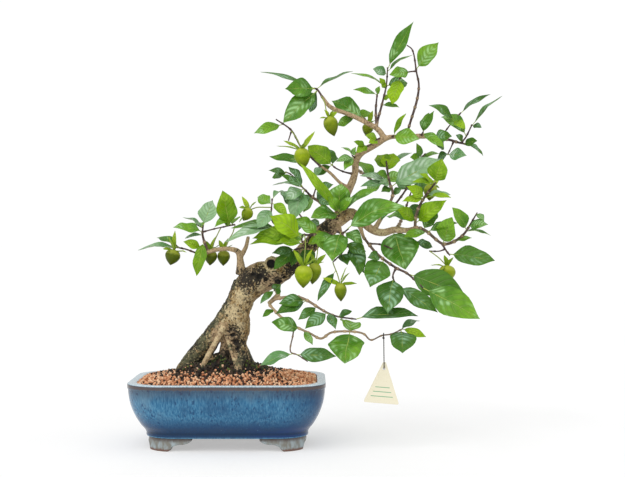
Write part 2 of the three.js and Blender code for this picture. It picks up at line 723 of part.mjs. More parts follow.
// Middle right
leafyStem("stem_riser", "pale", [
  [[215, 320, 8, 2.2], [221, 336, 12, 2.2], [217, 350, 14, 1.9], [214, 365, 16, 1.6], [212, 381, 16, 1.1]],
], [
  leaf([213, 374, 16], [202, 390, 34], 21, 20, 2),
  leaf([214, 372, 16], [222, 391, 30], 25, 15, 2),
  leaf([213, 374, 16], [247, 392, 44], 13, 60, 2),
  leaf([216, 353, 14], [176, 361, 2], 17, 60, 2),
  leaf([217, 351, 14], [177, 346, -8], 15, 55, 2),
  leaf([219, 346, 13], [286, 384, -14], 34, 25, 4),
]);
leafyStem("stem_riser_fork", "mid", [
  [
    [208, 308, 1, 2], [217, 315, 12, 1.9], [228, 327, 18, 1.6], [242, 348, 24, 1.4], [254, 378, 29, 1.2],
    [265, 391, 30, 1],
  ],
], [
  leaf([259, 384, 29], [253, 405, 12], 10, 20, 1),
  leaf([259, 384, 29], [244, 386, 18], 12, 20, 1),
  leaf([259, 384, 29], [284, 391, 38], 12, 60, 2),
]);
leafyStem("stem_right_rising", "bright", [
  [[251, 289, -24, 2.2], [252, 306, -30, 2.2], [258, 322, -34, 2], [266, 335, -38, 1.8], [279, 352, -44, 1.1]],
], [
  leaf([278, 351, -43], [288, 384, -60], 27, 10, 3),
  leaf([278, 351, -43], [246, 352, -54], 12, 55, 2),
  leaf([264, 331, -37], [239, 347, -52], 16, 20, 3),
  leaf([264, 331, -37], [300, 331, -58], 14, 65, 3),
  leaf([263, 330, -37], [233, 326, -56], 13, 35, 2),
  leaf([252, 297, -27], [294, 328, -58], 23, 25, 3),
  leaf([252, 299, -28], [223, 318, -52], 18, 30, 3),
  leaf([252, 303, -29], [212, 306, -4], 18, 60, 2),
  leaf([252, 304, -29], [274, 304, 4], 20, 30, 2),
]);
leafyStem("stem_right_falling", "mid", [
  [
    [256, 291, -26, 2], [266, 286, -26, 2.2], [288, 269, -26, 2],
    [299, 270, -28, 2.2], [315, 280, -32, 1.9], [335, 311, -40, 0.9],
  ],
  [[287, 270, -26, 1.7], [292, 261, -28, 1.4], [298, 253, -31, 1]],
  [[292, 262, -28, 1.2], [284, 259, -30, 1], [270, 259, -32, 1]],
], [
  leaf([289, 270, -27], [301, 305, -50], 28, 15, 3),
  leaf([267, 285, -26], [235, 277, -42], 16, 45, 2),
  leaf([323, 292, -36], [350, 295, -56], 16, 30, 3),
  leaf([320, 288, -35], [301, 318, -46], 15, 30, 4),
  leaf([319, 286, -34], [353, 280, -28], 12, 75, 3),
  leaf([297, 255, -30], [359, 246, -52], 24, 20, 3),
]);
leafyStem("stem_right_under", "dark", [
  [[224, 288, -17, 2.6], [236, 279, -14, 2.2], [247, 271, -8, 1.6], [260, 272, -2, 1.1]],
], [
  leaf([233, 281, -16], [238, 229, -36], 45, 15, 4),
  leaf([250, 271, -7], [275, 264, 6], 14, 30, 2),
  leaf([249, 271, -7], [243, 248, 12], 12, 30, 1),
]);

// Hanging stems
leafyStem("stem_hanging_inner", "dark", [
  [[151, 284, -13, 2.2], [158, 270, -20, 2], [168, 257, -24, 1.8], [184, 238, -28, 1.1]],
  [[160, 267, -21, 1.4], [150, 254, -28, 1.1], [140, 244, -34, 1]],
], [
  leaf([162, 265, -22], [185, 258, -8], 17, 45, 2),
  leaf([173, 251, -25], [176, 226, -44], 14, 20, 1),
  leaf([150, 255, -28], [160, 240, -46], 16, 30, 2),
]);
leafyStem("stem_hanging_outer", "dark", [
  [
    [181, 278, -21, 2], [200, 255, -34, 2.1], [226, 236, -48, 1.8], [240, 229, -54, 1.7],
    [263, 208, -68, 1],
  ],
  [[225, 236, -48, 1.6], [221, 224, -56, 1.2], [228, 210, -62, 1]],
  [[188, 269, -25, 1.5], [204, 268, -30, 1.2], [220, 262, -44, 1]],
], [
  leaf([209, 247, -39], [190, 210, -62], 36, 15, 4),
  leaf([222, 224, -55], [214, 174, -82], 36, 10, 5),
  leaf([227, 211, -61], [282, 176, -76], 22, 20, 3),
  leaf([242, 228, -55], [333, 198, -80], 42, 10, 4),
  leaf([262, 209, -67], [339, 167, -92], 38, 12, 5),
]);

// Lower front branch
leafyStem("stem_low_start", "mid", [
  [[64, 206, -18, 1.6], [61, 206, -28, 1.1]],
], [
  leaf([61, 206, -26], [70, 214, -50], 15, 0, 2),
  leaf([61, 206, -26], [42, 188, -38], 10, 30, 2),
]);
leafyStem("stem_low_upper", "dark", [
  [
    [55, 191, -29, 2], [66, 195, -34, 2.3], [92, 197, -42, 2.1], [104, 193, -46, 2],
    [130, 177, -54, 1.6], [145, 171, -58, 1.3], [172, 167, -62, 1],
  ],
], [
  leaf([103, 193, -46], [70, 190, -60], 12, 40, 1),
  leaf([105, 192, -46], [68, 175, -66], 14, 25, 2),
  leaf([119, 184, -50], [93, 166, -62], 13, 20, 2),
  leaf([133, 176, -55], [102, 154, -72], 19, 20, 3),
  leaf([133, 176, -55], [144, 153, -70], 13, 20, 2),
  leaf([171, 167, -62], [256, 171, -74], 25, 50, 7),
]);
leafyStem("stem_low_main", "mid", [
  [
    [54, 187, -32, 2], [69, 171, -42, 2], [84, 160, -48, 1.9], [109, 148, -54, 1.7],
    [124, 141, -56, 1.8], [138, 149, -57, 1.7], [170, 150, -58, 1.6], [182, 147, -58, 1.4],
    [191, 139, -58, 1.2], [206, 145, -58, 1.05], [219, 147, -58, 1.05], [234, 154, -60, 0.9],
  ],
  [[88, 158, -49, 1.4], [86, 145, -56, 1.1], [83, 123, -62, 1], [92, 119, -64, 0.9], [106, 110, -66, 0.9]],
], [
  leaf([95, 154, -51], [57, 163, -68], 20, 20, 4),
  leaf([163, 150, -58], [156, 107, -80], 46, 10, 4),
  leaf([164, 150, -58], [160, 166, -34], 28, 30, 2),
  leaf([232, 153, -60], [234, 121, -76], 34, 10, 3),
  leaf([233, 154, -60], [266, 143, -62], 12, 20, 2),
  leaf([231, 152, -60], [258, 165, -46], 16, 60, 3),
  leaf([91, 119, -64], [145, 117, -76], 20, 15, 3),
  leaf([87, 121, -63], [41, 104, -64], 20, 45, 3),
]);

// Back
leafyStem("stem_back_left", "dark", [
  [[120, 279, 8, 3.4], [112, 292, 36, 2.2], [100, 302, 62, 1.6], [90, 316, 86, 1]],
], [
  leaf([104, 299, 54], [122, 288, 78], 20, 20, 2),
  leaf([101, 301, 60], [84, 282, 84], 22, 40, 3),
  leaf([90, 316, 85], [70, 340, 100], 22, 40, 3),
  leaf([90, 316, 85], [112, 334, 104], 20, 40, 3),
]);
leafyStem("stem_back_top", "mid", [
  [[171, 370, 12, 2.6], [186, 360, 42, 1.9], [196, 352, 70, 1.4], [209, 351, 92, 1]],
], [
  leaf([193, 355, 60], [176, 380, 84], 20, 40, 3),
  leaf([208, 351, 90], [184, 338, 108], 22, 40, 3),
  leaf([208, 351, 90], [236, 362, 104], 20, 40, 3),
]);
leafyStem("stem_back_right", "dark", [
  [[226, 288, -14, 2.8], [232, 300, 26, 2], [240, 322, 56, 1.5], [246, 340, 84, 1]],
], [
  leaf([239, 318, 50], [262, 306, 76], 20, 30, 3),
  leaf([246, 339, 83], [226, 352, 100], 20, 40, 3),
  leaf([246, 339, 83], [272, 346, 98], 22, 40, 3),
]);

// Fruit

const FRUIT_SIDES = 8;
const FRUIT_PROFILE = [[0, 0], [0.12, 0.76], [0.42, 1], [0.78, 0.58], [1, 0]];
const LOBE_WIDTH = 7;
const stalkClearance = Manifold.union([woodClearance, ...twigClearances]);

// A green fruit hanging from `top` to `tip`, with four calyx lobes and a stalk.
function fruit(name, top, tip, width, lobes, stalk) {
  const start = seen(top);
  const axis = seen(tip).sub(start);
  const length = axis.length();
  const profile = FRUIT_PROFILE.map(
    ([share, spread]) => new THREE.Vector2((spread * width) / 2, -share * length),
  );
  const body = new THREE.LatheGeometry(profile.reverse(), FRUIT_SIDES);
  const down = new THREE.Vector3(0, -1, 0);
  body.applyQuaternion(new THREE.Quaternion().setFromUnitVectors(down, axis.normalize()));
  body.translate(start.x, start.y, start.z);
  const calyx = top.map((value, index) => value + (tip[index] - value) * 0.1);
  const lobeBase = (end) => calyx.map((value, index) => value + (end[index] - value) * 0.05);
  const stalkRoute = [calyx, ...stalk].map((place) => [...place, STALK_RADIUS]);
  const parts = [
    solidFromGeometry(body),
    ...lobes.map((end, index) =>
      blade(lobeBase(end), end, LOBE_WIDTH, 20 + 30 * index, 1, LOBE_ROWS, false),
    ),
    limb(stalkRoute, 4),
  ];
  const whole = Manifold.union(parts).subtract(stalkClearance);
  addNode(name, largestBody(whole), COLOURS.fruit);
}

fruit("fruit_left_1", [-74, 261, -27], [-79.5, 240, -30], 20,
  [[-73, 287, -27], [-90, 262, -40], [-57, 257, -36], [-84, 280, -36]],
  [[-71, 264.5, -25], [-68, 264, -22]]);
fruit("fruit_left_2", [-24, 260, 0], [-26, 239.5, 0], 17,
  [[-32, 273, 4], [-18, 279, 2], [-12, 268, 8], [-30, 264, 12]],
  [[-20, 272, -4], [-16, 281, -12], [-11, 291, -18.6]]);
fruit("fruit_left_3", [-7, 260, 2], [-8, 239, 2], 17,
  [[-14, 274, 6], [-1, 277, 8], [5, 268, 10], [-9, 268, 14]],
  [[0, 275, -4], [5, 284, -13], [8, 294.5, -21]]);
fruit("fruit_left_4", [28, 316, -36], [19, 300, -44], 15,
  [[17, 333, -36], [13, 318, -48], [37, 326, -44], [13, 297, -54]],
  [[38, 318, -37], [50, 318, -37], [57, 318, -36.4]]);
fruit("fruit_top_1", [134, 441, -20], [142, 414, -22], 19,
  [[146, 447, -28], [128, 450, -28], [122, 438, -30], [142, 449, -12]],
  [[131, 449, -15], [129, 459, -11], [124.5, 468.5, -6]]);
fruit("fruit_top_2", [97, 398, -8], [101, 370, -14], 21,
  [[116, 421, -18], [73, 408, -20], [63, 401, -2], [104, 408, -28]],
  [[93, 408, -1], [88, 416, 6], [84, 421, 9]]);
fruit("fruit_top_3", [189, 431, 15], [184, 415, 18], 15,
  [[194, 449, 14], [178, 438, 24], [200, 436, 26], [190, 444, 28]],
  [[190, 434, 9], [188, 432, 3]]);
fruit("fruit_front_1", [101, 240, -58], [100, 209, -60], 23,
  [[86, 262, -56], [113, 262, -66], [92, 258, -74], [120, 250, -62]],
  [[102, 254, -52], [103, 268, -44], [102, 280.5, -28.5]]);
fruit("fruit_front_2", [117, 243, -40], [112, 214, -42], 18,
  [[131, 255, -48], [108, 258, -34], [128, 244, -30], [110, 250, -28]],
  [[119, 256, -36], [120, 268, -31], [120, 280, -26.5]]);
fruit("fruit_front_3", [150, 216, -46], [151, 191, -48], 16,
  [[126, 223, -50], [173, 215, -54], [159, 238, -52], [163, 230, -38]],
  [[146, 228, -42], [142, 238, -38], [140, 244, -34.4]]);
fruit("fruit_right_1", [295, 240, -38], [293, 216, -40], 22,
  [[290, 254, -40], [303, 251, -46], [271, 240, -42], [286, 232, -56]],
  [[284, 249, -36], [275, 256, -33.5], [271, 258.7, -32.4]]);
fruit("fruit_right_2", [273, 349, -30], [270, 327, -28], 18,
  [[284, 356, -28], [262, 352, -22], [270, 358, -20], [284, 344, -18]],
  [[275, 354, -35], [277, 350, -42.5]]);

// Tag and its cord

const TAG_DEPTH = -58;
const CORD_TOP = seen([208.5, 145.2, TAG_DEPTH]);
const TAG_HOLE = seen([209, 100, TAG_DEPTH]);
const TAG_TILT = THREE.MathUtils.degToRad(-4.7);

// A plain three-cornered plate, its corners rounded, hung by a hole near its top.
function tagPlate() {
  const halfBase = 22.5;
  const drop = 45;
  const corner = 2.5;
  const shape = new THREE.Shape();
  shape.moveTo(-2.2, 8.2);
  shape.quadraticCurveTo(0, 9.6, 2.2, 8.2);
  shape.lineTo(halfBase, -drop + corner);
  shape.quadraticCurveTo(halfBase + 0.6, -drop, halfBase - corner, -drop);
  shape.lineTo(-halfBase + corner, -drop);
  shape.quadraticCurveTo(-halfBase - 0.6, -drop, -halfBase, -drop + corner);
  const plate = new THREE.ExtrudeGeometry(shape, {
    depth: TAG_THICKNESS,
    bevelEnabled: false,
    curveSegments: 6,
  });
  plate.translate(0, 0, -TAG_THICKNESS / 2);
  plate.rotateX(Math.PI / 2);
  plate.rotateY(-TAG_TILT);
  const holeRadius = CORD_RADIUS + 3 * GAP;
  const hole = Manifold.cylinder(4 * TAG_THICKNESS, holeRadius, holeRadius, 12, true);
  return solidFromGeometry(plate).subtract(hole.rotate([90, 0, 0])).translate(TAG_HOLE.toArray());
}
addNode("tag", tagPlate(), COLOURS.tag);

// The cord, as [across, back, up] from the place on the twig that it hangs from: over the twig,
// down in front of the tag's top, through its hole and up behind it.
const CORD_DROP = CORD_TOP.z - TAG_HOLE.z;
const CORD_ROUTE = [
  [0, 2.6, -3.6], [0, 2.8, -1.6], [0, 2.6, 0.6], [0, 1.6, 2.2], [0, 0, 2.8], [0, -1.6, 2.3],
  [0, -2.5, 0.8], [0, -2.6, -2], [0.1, -2.5, -9], [0.2, -2.4, -17], [0.3, -2.4, -25],
  [0.4, -2.3, -33], [0.5, -2.3, 5.5 - CORD_DROP], [0.5, -2, 1.1 - CORD_DROP],
  [0.5, 0, -0.5 - CORD_DROP], [0.5, 2, 1.1 - CORD_DROP], [0.5, 2.3, 4.5 - CORD_DROP],
];
const CORD_STEPS = 26;

function cordTube() {
  const outline = new THREE.Shape();
  const sides = 8;
  for (let step = 0; step < sides; step += 1) {
    const angle = (2 * Math.PI * step) / sides;
    const x = CORD_RADIUS * Math.cos(angle);
    const y = CORD_RADIUS * Math.sin(angle);
    if (step === 0) outline.moveTo(x, y);
    else outline.lineTo(x, y);
  }
  const places = CORD_ROUTE.map((place) => new THREE.Vector3(...place).add(CORD_TOP));
  const path = new THREE.CatmullRomCurve3(places, false, "centripetal");
  return solidFromGeometry(
    new THREE.ExtrudeGeometry(outline, { steps: CORD_STEPS, extrudePath: path, bevelEnabled: false }),
  );
}
addNode("tag_cord", cordTube(), COLOURS.cord);

// The part's own origin is the bottom centre of everything above.
const bounds = new THREE.Box3().setFromObject(group);
group.position.set(-(bounds.min.x + bounds.max.x) / 2, -(bounds.min.y + bounds.max.y) / 2, -bounds.min.z);

export default group;
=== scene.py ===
"""Looks of a persimmon bonsai in a glazed rectangular pot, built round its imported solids.

The layout is in millimetres, in a frame whose origin is the middle of the pot's footprint, with
+Z up and the front facing -Y. A place is (x, z, depth): where a point shows on the plane y = 0
from the viewpoint, and how far behind that plane it is. A finished mesh is in metres, in the
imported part's own frame.
"""

import logging
import math
from dataclasses import dataclass, field
from enum import Enum
from typing import Optional, Sequence, Union

import bpy
import numpy as np
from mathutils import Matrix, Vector, kdtree, noise


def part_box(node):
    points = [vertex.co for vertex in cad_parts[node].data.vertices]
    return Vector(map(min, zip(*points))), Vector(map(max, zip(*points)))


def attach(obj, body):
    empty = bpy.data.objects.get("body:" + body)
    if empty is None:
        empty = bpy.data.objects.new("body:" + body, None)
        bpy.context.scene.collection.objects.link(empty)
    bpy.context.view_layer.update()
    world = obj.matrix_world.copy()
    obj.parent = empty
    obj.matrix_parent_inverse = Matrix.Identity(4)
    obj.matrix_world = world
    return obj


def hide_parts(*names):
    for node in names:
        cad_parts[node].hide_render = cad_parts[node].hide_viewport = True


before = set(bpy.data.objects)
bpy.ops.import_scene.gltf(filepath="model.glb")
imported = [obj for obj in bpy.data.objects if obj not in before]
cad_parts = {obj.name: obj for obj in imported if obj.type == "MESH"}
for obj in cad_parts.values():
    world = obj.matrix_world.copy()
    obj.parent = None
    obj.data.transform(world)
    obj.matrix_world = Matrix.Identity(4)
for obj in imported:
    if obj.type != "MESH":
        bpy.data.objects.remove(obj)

LOG = logging.getLogger("persimmon")
MM = 0.001
BODY = "root"
WHITE = (1.0, 1.0, 1.0, 1.0)

Place = tuple[float, float, float]
Stop = tuple[float, float, float, float]
Colour = tuple[float, float, float, float]
Mesh = bpy.types.Mesh
Piece = bpy.types.Object
Material = bpy.types.Material
NodeTree = bpy.types.NodeTree
Node = bpy.types.Node
Socket = bpy.types.NodeSocket
Value = Union[float, int, bool, str, Sequence[float], bpy.types.ID, Node, Socket]

# The viewpoint, and the shift from the layout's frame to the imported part's.
EYE = np.array((112.5, -1620.0, 276.0))
POT_LOW, POT_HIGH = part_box("pot")
SHIFT = np.array(((POT_LOW.x + POT_HIGH.x) / 2, (POT_LOW.y + POT_HIGH.y) / 2, 0.0)) / MM

# Pot
WIDTH_LOSS = 35.0
CORNER_SHARE = 0.37
LIP_HALF = 118.0
FOOT_HALF = 104.0
FOOT_HEIGHT = 17.0
FLOOR_TOP = 26.0
DRAIN_OFFSET = 45.0
DRAIN_RADIUS = 8.0

# Soil
SOIL_EDGE = 84.0
SOIL_RISE = 15.0
SOIL_REACH = (125.0, 92.0)
SOIL_GAP = 0.4

# Foliage: how steeply a blade folds up and waves, and how far and how often its midrib sways.
FOLD = 0.24
WAVE = 0.13
SWAY = 0.13
SWAY_RATE = 9.0


class Tone(Enum):
    """The leaf colours, each a material slot of the record."""

    BRIGHT = "leaf_bright"
    MID = "leaf_mid"
    DARK = "leaf_dark"
    PALE = "leaf_pale"


BRIGHT, MID, DARK, PALE = Tone


# Layout


def seen(place: Sequence[float]) -> np.ndarray:
    """Turns a place into a point of the layout, in millimetres."""
    x, z, depth = place
    return EYE + (np.array((x, 0.0, z)) - EYE) * (1.0 - depth / EYE[1])


def to_metres(points: np.ndarray) -> np.ndarray:
    """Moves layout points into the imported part's frame, in metres."""
    return (np.asarray(points, float) + SHIFT) * MM


def scatter(seed: float) -> float:
    """Gives a repeatable random number from 0 to 1, the one that the part's source uses."""
    wave = math.sin(seed * 127.1 + 11.7) * 43758.5453
    return wave - math.floor(wave)


def unit(vector: np.ndarray) -> np.ndarray:
    """Scales a vector to length 1."""
    return vector / np.linalg.norm(vector)


def circle(count: int) -> np.ndarray:
    """Gives evenly spaced angles round a circle."""
    return np.linspace(0, math.tau, count, endpoint=False)


def between(a: np.ndarray, b: np.ndarray, low: float, high: float, at: float) -> np.ndarray:
    """Gives the value at `at` on the line that is `a` at `low` and `b` at `high`."""
    return (a * (high - at) + b * (at - low)) / (high - low)


def travel(rows: np.ndarray) -> np.ndarray:
    """Gives how far along a line of points each of them is."""
    steps = np.linalg.norm(np.diff(rows[:, :3], axis=0), axis=1)
    return np.concatenate(((0.0,), np.cumsum(steps)))


def smooth_curve(places: np.ndarray, step: float) -> np.ndarray:
    """Samples a centripetal Catmull-Rom curve through rows of points.

    Args:
        places: one row a point, its position first and then anything that varies along it.
        step: the distance between samples.

    Returns:
        The sampled rows.
    """
    held = np.vstack((2 * places[0] - places[1], places, 2 * places[-1] - places[-2]))
    rows = []
    for index in range(1, len(held) - 2):
        p0, p1, p2, p3 = held[index - 1 : index + 3]
        gaps = [math.sqrt(np.linalg.norm((b - a)[:3])) for a, b in ((p0, p1), (p1, p2), (p2, p3))]
        t1 = gaps[0]
        t2 = t1 + gaps[1]
        t3 = t2 + gaps[2]
        count = max(1, round(gaps[1] ** 2 / step))
        for at in np.linspace(t1, t2, count, endpoint=False):
            a = between(p0, p1, 0.0, t1, at)
            b = between(p1, p2, t1, t2, at)
            c = between(p2, p3, t2, t3, at)
            rows.append(between(between(a, b, 0.0, t2, at), between(b, c, t1, t3, at), t1, t2, at))
    rows.append(places[-1])
    return np.array(rows)


def route_curve(route: Sequence[Stop], step: float) -> np.ndarray:
    """Samples a limb's route as rows of x, y, z and radius, in layout millimetres."""
    return smooth_curve(np.array([(*seen(stop[:3]), stop[3]) for stop in route]), step)


def outline_curve(rows: Sequence[tuple], step: float) -> np.ndarray:
    """Samples a smooth curve through flat points."""
    return smooth_curve(np.array([(*row, 0.0) for row in rows], float), step)[:, :2]


def bent_corners(corners: Sequence[tuple], count: int) -> list[tuple[float, float]]:
    """Samples corners that bend from their first point to their last, pulled by the middle one.

    Args:
        corners: three flat points each.
        count: the number of samples in each.

    Returns:
        The samples of all corners.
    """
    points = []
    for corner in corners:
        for share in np.linspace(0, 1, count):
            weights = ((1 - share) ** 2, 2 * share * (1 - share), share**2)
            points.append(tuple(sum(w * point[axis] for w, point in zip(weights, corner)) for axis in (0, 1)))
    return points


def pot_outline(half: float, z: float, steps: int = 14) -> np.ndarray:
    """Gives the pot's rounded rectangle at one height, anticlockwise from above.

    Args:
        half: half the length there.
        z: the height.
        steps: the number of segments in each corner.

    Returns:
        One row a point.
    """
    radius = half * CORNER_SHARE
    points = []
    for side_x, side_y, first in ((1, -1, -90), (1, 1, 0), (-1, 1, 90), (-1, -1, 180)):
        for step in range(steps + 1):
            angle = math.radians(first + 90 * step / steps)
            x = side_x * (half - radius) + radius * math.cos(angle)
            y = side_y * (half - WIDTH_LOSS - radius) + radius * math.sin(angle)
            points.append((x, y, z))
    return np.array(points)


def soil_height(x: float, y: float) -> float:
    """Gives the height of the mounded soil over a point of the pot's floor."""
    return SOIL_EDGE + SOIL_RISE * (1 - (x / SOIL_REACH[0]) ** 4) * (1 - (y / SOIL_REACH[1]) ** 2)


# Meshes


def link(name: str, data: bpy.types.ID) -> Piece:
    """Puts a new object in the scene.

    Args:
        name: the object's name.
        data: its mesh, curve, camera or light.

    Returns:
        The object.
    """
    piece = bpy.data.objects.new(name, data)
    bpy.context.scene.collection.objects.link(piece)
    return piece


def read(mesh: Mesh, key: str) -> np.ndarray:
    """Reads a vector of each vertex.

    Args:
        mesh: the mesh.
        key: co or normal.

    Returns:
        One row a vertex.
    """
    flat = np.zeros(len(mesh.vertices) * 3)
    mesh.vertices.foreach_get(key, flat)
    return flat.reshape(-1, 3)


def write(mesh: Mesh, key: str, values: Sequence, kind: str = "FLOAT", domain: str = "POINT") -> None:
    """Stores one value for each point, edge or face of a mesh."""
    data = mesh.attributes.new(key, kind, domain).data
    data.foreach_set("vector" if kind == "FLOAT_VECTOR" else "value", np.ravel(values))


def write_map(mesh: Mesh, flat: np.ndarray) -> None:
    """Gives a mesh its UV map.

    Args:
        mesh: the mesh.
        flat: a pair of values for each vertex.
    """
    corners = np.zeros(len(mesh.loops), np.int32)
    mesh.loops.foreach_get("vertex_index", corners)
    layer = mesh.uv_layers.get("UVMap") or mesh.uv_layers.new(name="UVMap")
    layer.data.foreach_set("uv", flat[corners].ravel())


def baked(carrier: Piece, name: str) -> Piece:
    """Turns an object with live modifiers into a plain mesh object.

    Args:
        carrier: the object; it is removed with its modifiers.
        name: the finished piece's name.

    Returns:
        The finished piece.
    """
    graph = bpy.context.evaluated_depsgraph_get()
    mesh = bpy.data.meshes.new_from_object(
        carrier.evaluated_get(graph), preserve_all_data_layers=True, depsgraph=graph
    )
    bpy.data.objects.remove(carrier)
    mesh.name = name
    return link(name, mesh)


def declare(piece: Piece, slot: str, *nodes: str) -> None:
    """Says what a finished piece rides on, which solids it stands for and its material slot.

    Args:
        piece: the finished piece.
        slot: the record's material slot.
        nodes: the solids that it replaces.
    """
    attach(piece, BODY)
    if nodes:
        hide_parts(*nodes)
    LOG.info("%s: %d faces, slot %s", piece.name, len(piece.data.polygons), slot)


@dataclass
class Surface:
    """A mesh under construction: points in the layout, faces, and values for each point."""

    points: list = field(default_factory=list)
    faces: list = field(default_factory=list)
    edges: list = field(default_factory=list)
    uv: list = field(default_factory=list)
    values: dict = field(default_factory=dict)
    tube_side: Place = (0.13, 1.0, 0.07)
    ply_groove: float = 0.16

    def loft(self, rings: Sequence[np.ndarray], flip: bool = False) -> None:
        """Joins rings of points into one closed skin, its two ends filled.

        Args:
            rings: the rings, each anticlockwise seen from the last one.
            flip: turns every face round, for a mirrored set of rings.
        """
        start = len(self.points)
        count = len(rings[0])
        faces = [tuple(start + column for column in reversed(range(count)))]
        for row in range(len(rings) - 1):
            for column in range(count):
                a = start + row * count + column
                b = start + row * count + (column + 1) % count
                faces.append((a, b, b + count, a + count))
        last = start + (len(rings) - 1) * count
        faces.append(tuple(last + column for column in range(count)))
        self.faces += [tuple(reversed(face)) for face in faces] if flip else faces
        for ring in rings:
            self.points.extend(ring)

    def tube(self, curve: np.ndarray, sides: int, twist: float = 0.0, plies: int = 0) -> None:
        """Adds a closed round tube.

        Args:
            curve: rows of x, y, z and radius along its middle.
            sides: the number of its sides.
            twist: how far the strands of a string turn in each millimetre, in radians.
            plies: the number of strands that show, or 0 for a plain tube.
        """
        directions = np.gradient(curve[:, :3], axis=0)
        side = np.array(self.tube_side)
        rings = []
        for row, direction, along in zip(curve, directions, travel(curve)):
            direction = unit(direction)
            side = unit(side - direction * side.dot(direction))
            up = np.cross(direction, side)
            ring = []
            for step in range(sides):
                angle = math.tau * step / sides
                groove = self.ply_groove * (0.5 - 0.5 * math.cos(plies * angle + twist * along))
                radius = row[3] * (1 - groove)
                ring.append(row[:3] + radius * (math.cos(angle) * side + math.sin(angle) * up))
            rings.append(np.array(ring))
        self.loft(rings)

    def build(self, name: str, material: Optional[Material] = None) -> Piece:
        """Makes the object, its place in its mesh.

        Args:
            name: the object's name.
            material: its finish, if it has one of its own.

        Returns:
            The new object, smooth shaded.
        """
        mesh = bpy.data.meshes.new(name)
        mesh.from_pydata(to_metres(np.array(self.points)).tolist(), self.edges, self.faces)
        for key, values in self.values.items():
            write(mesh, key, values, "FLOAT_VECTOR" if np.ndim(values[0]) else "FLOAT")
        if self.uv:
            write_map(mesh, np.array(self.uv))
        mesh.shade_smooth()
        if material:
            mesh.materials.append(material)
        return link(name, mesh)


# Node trees


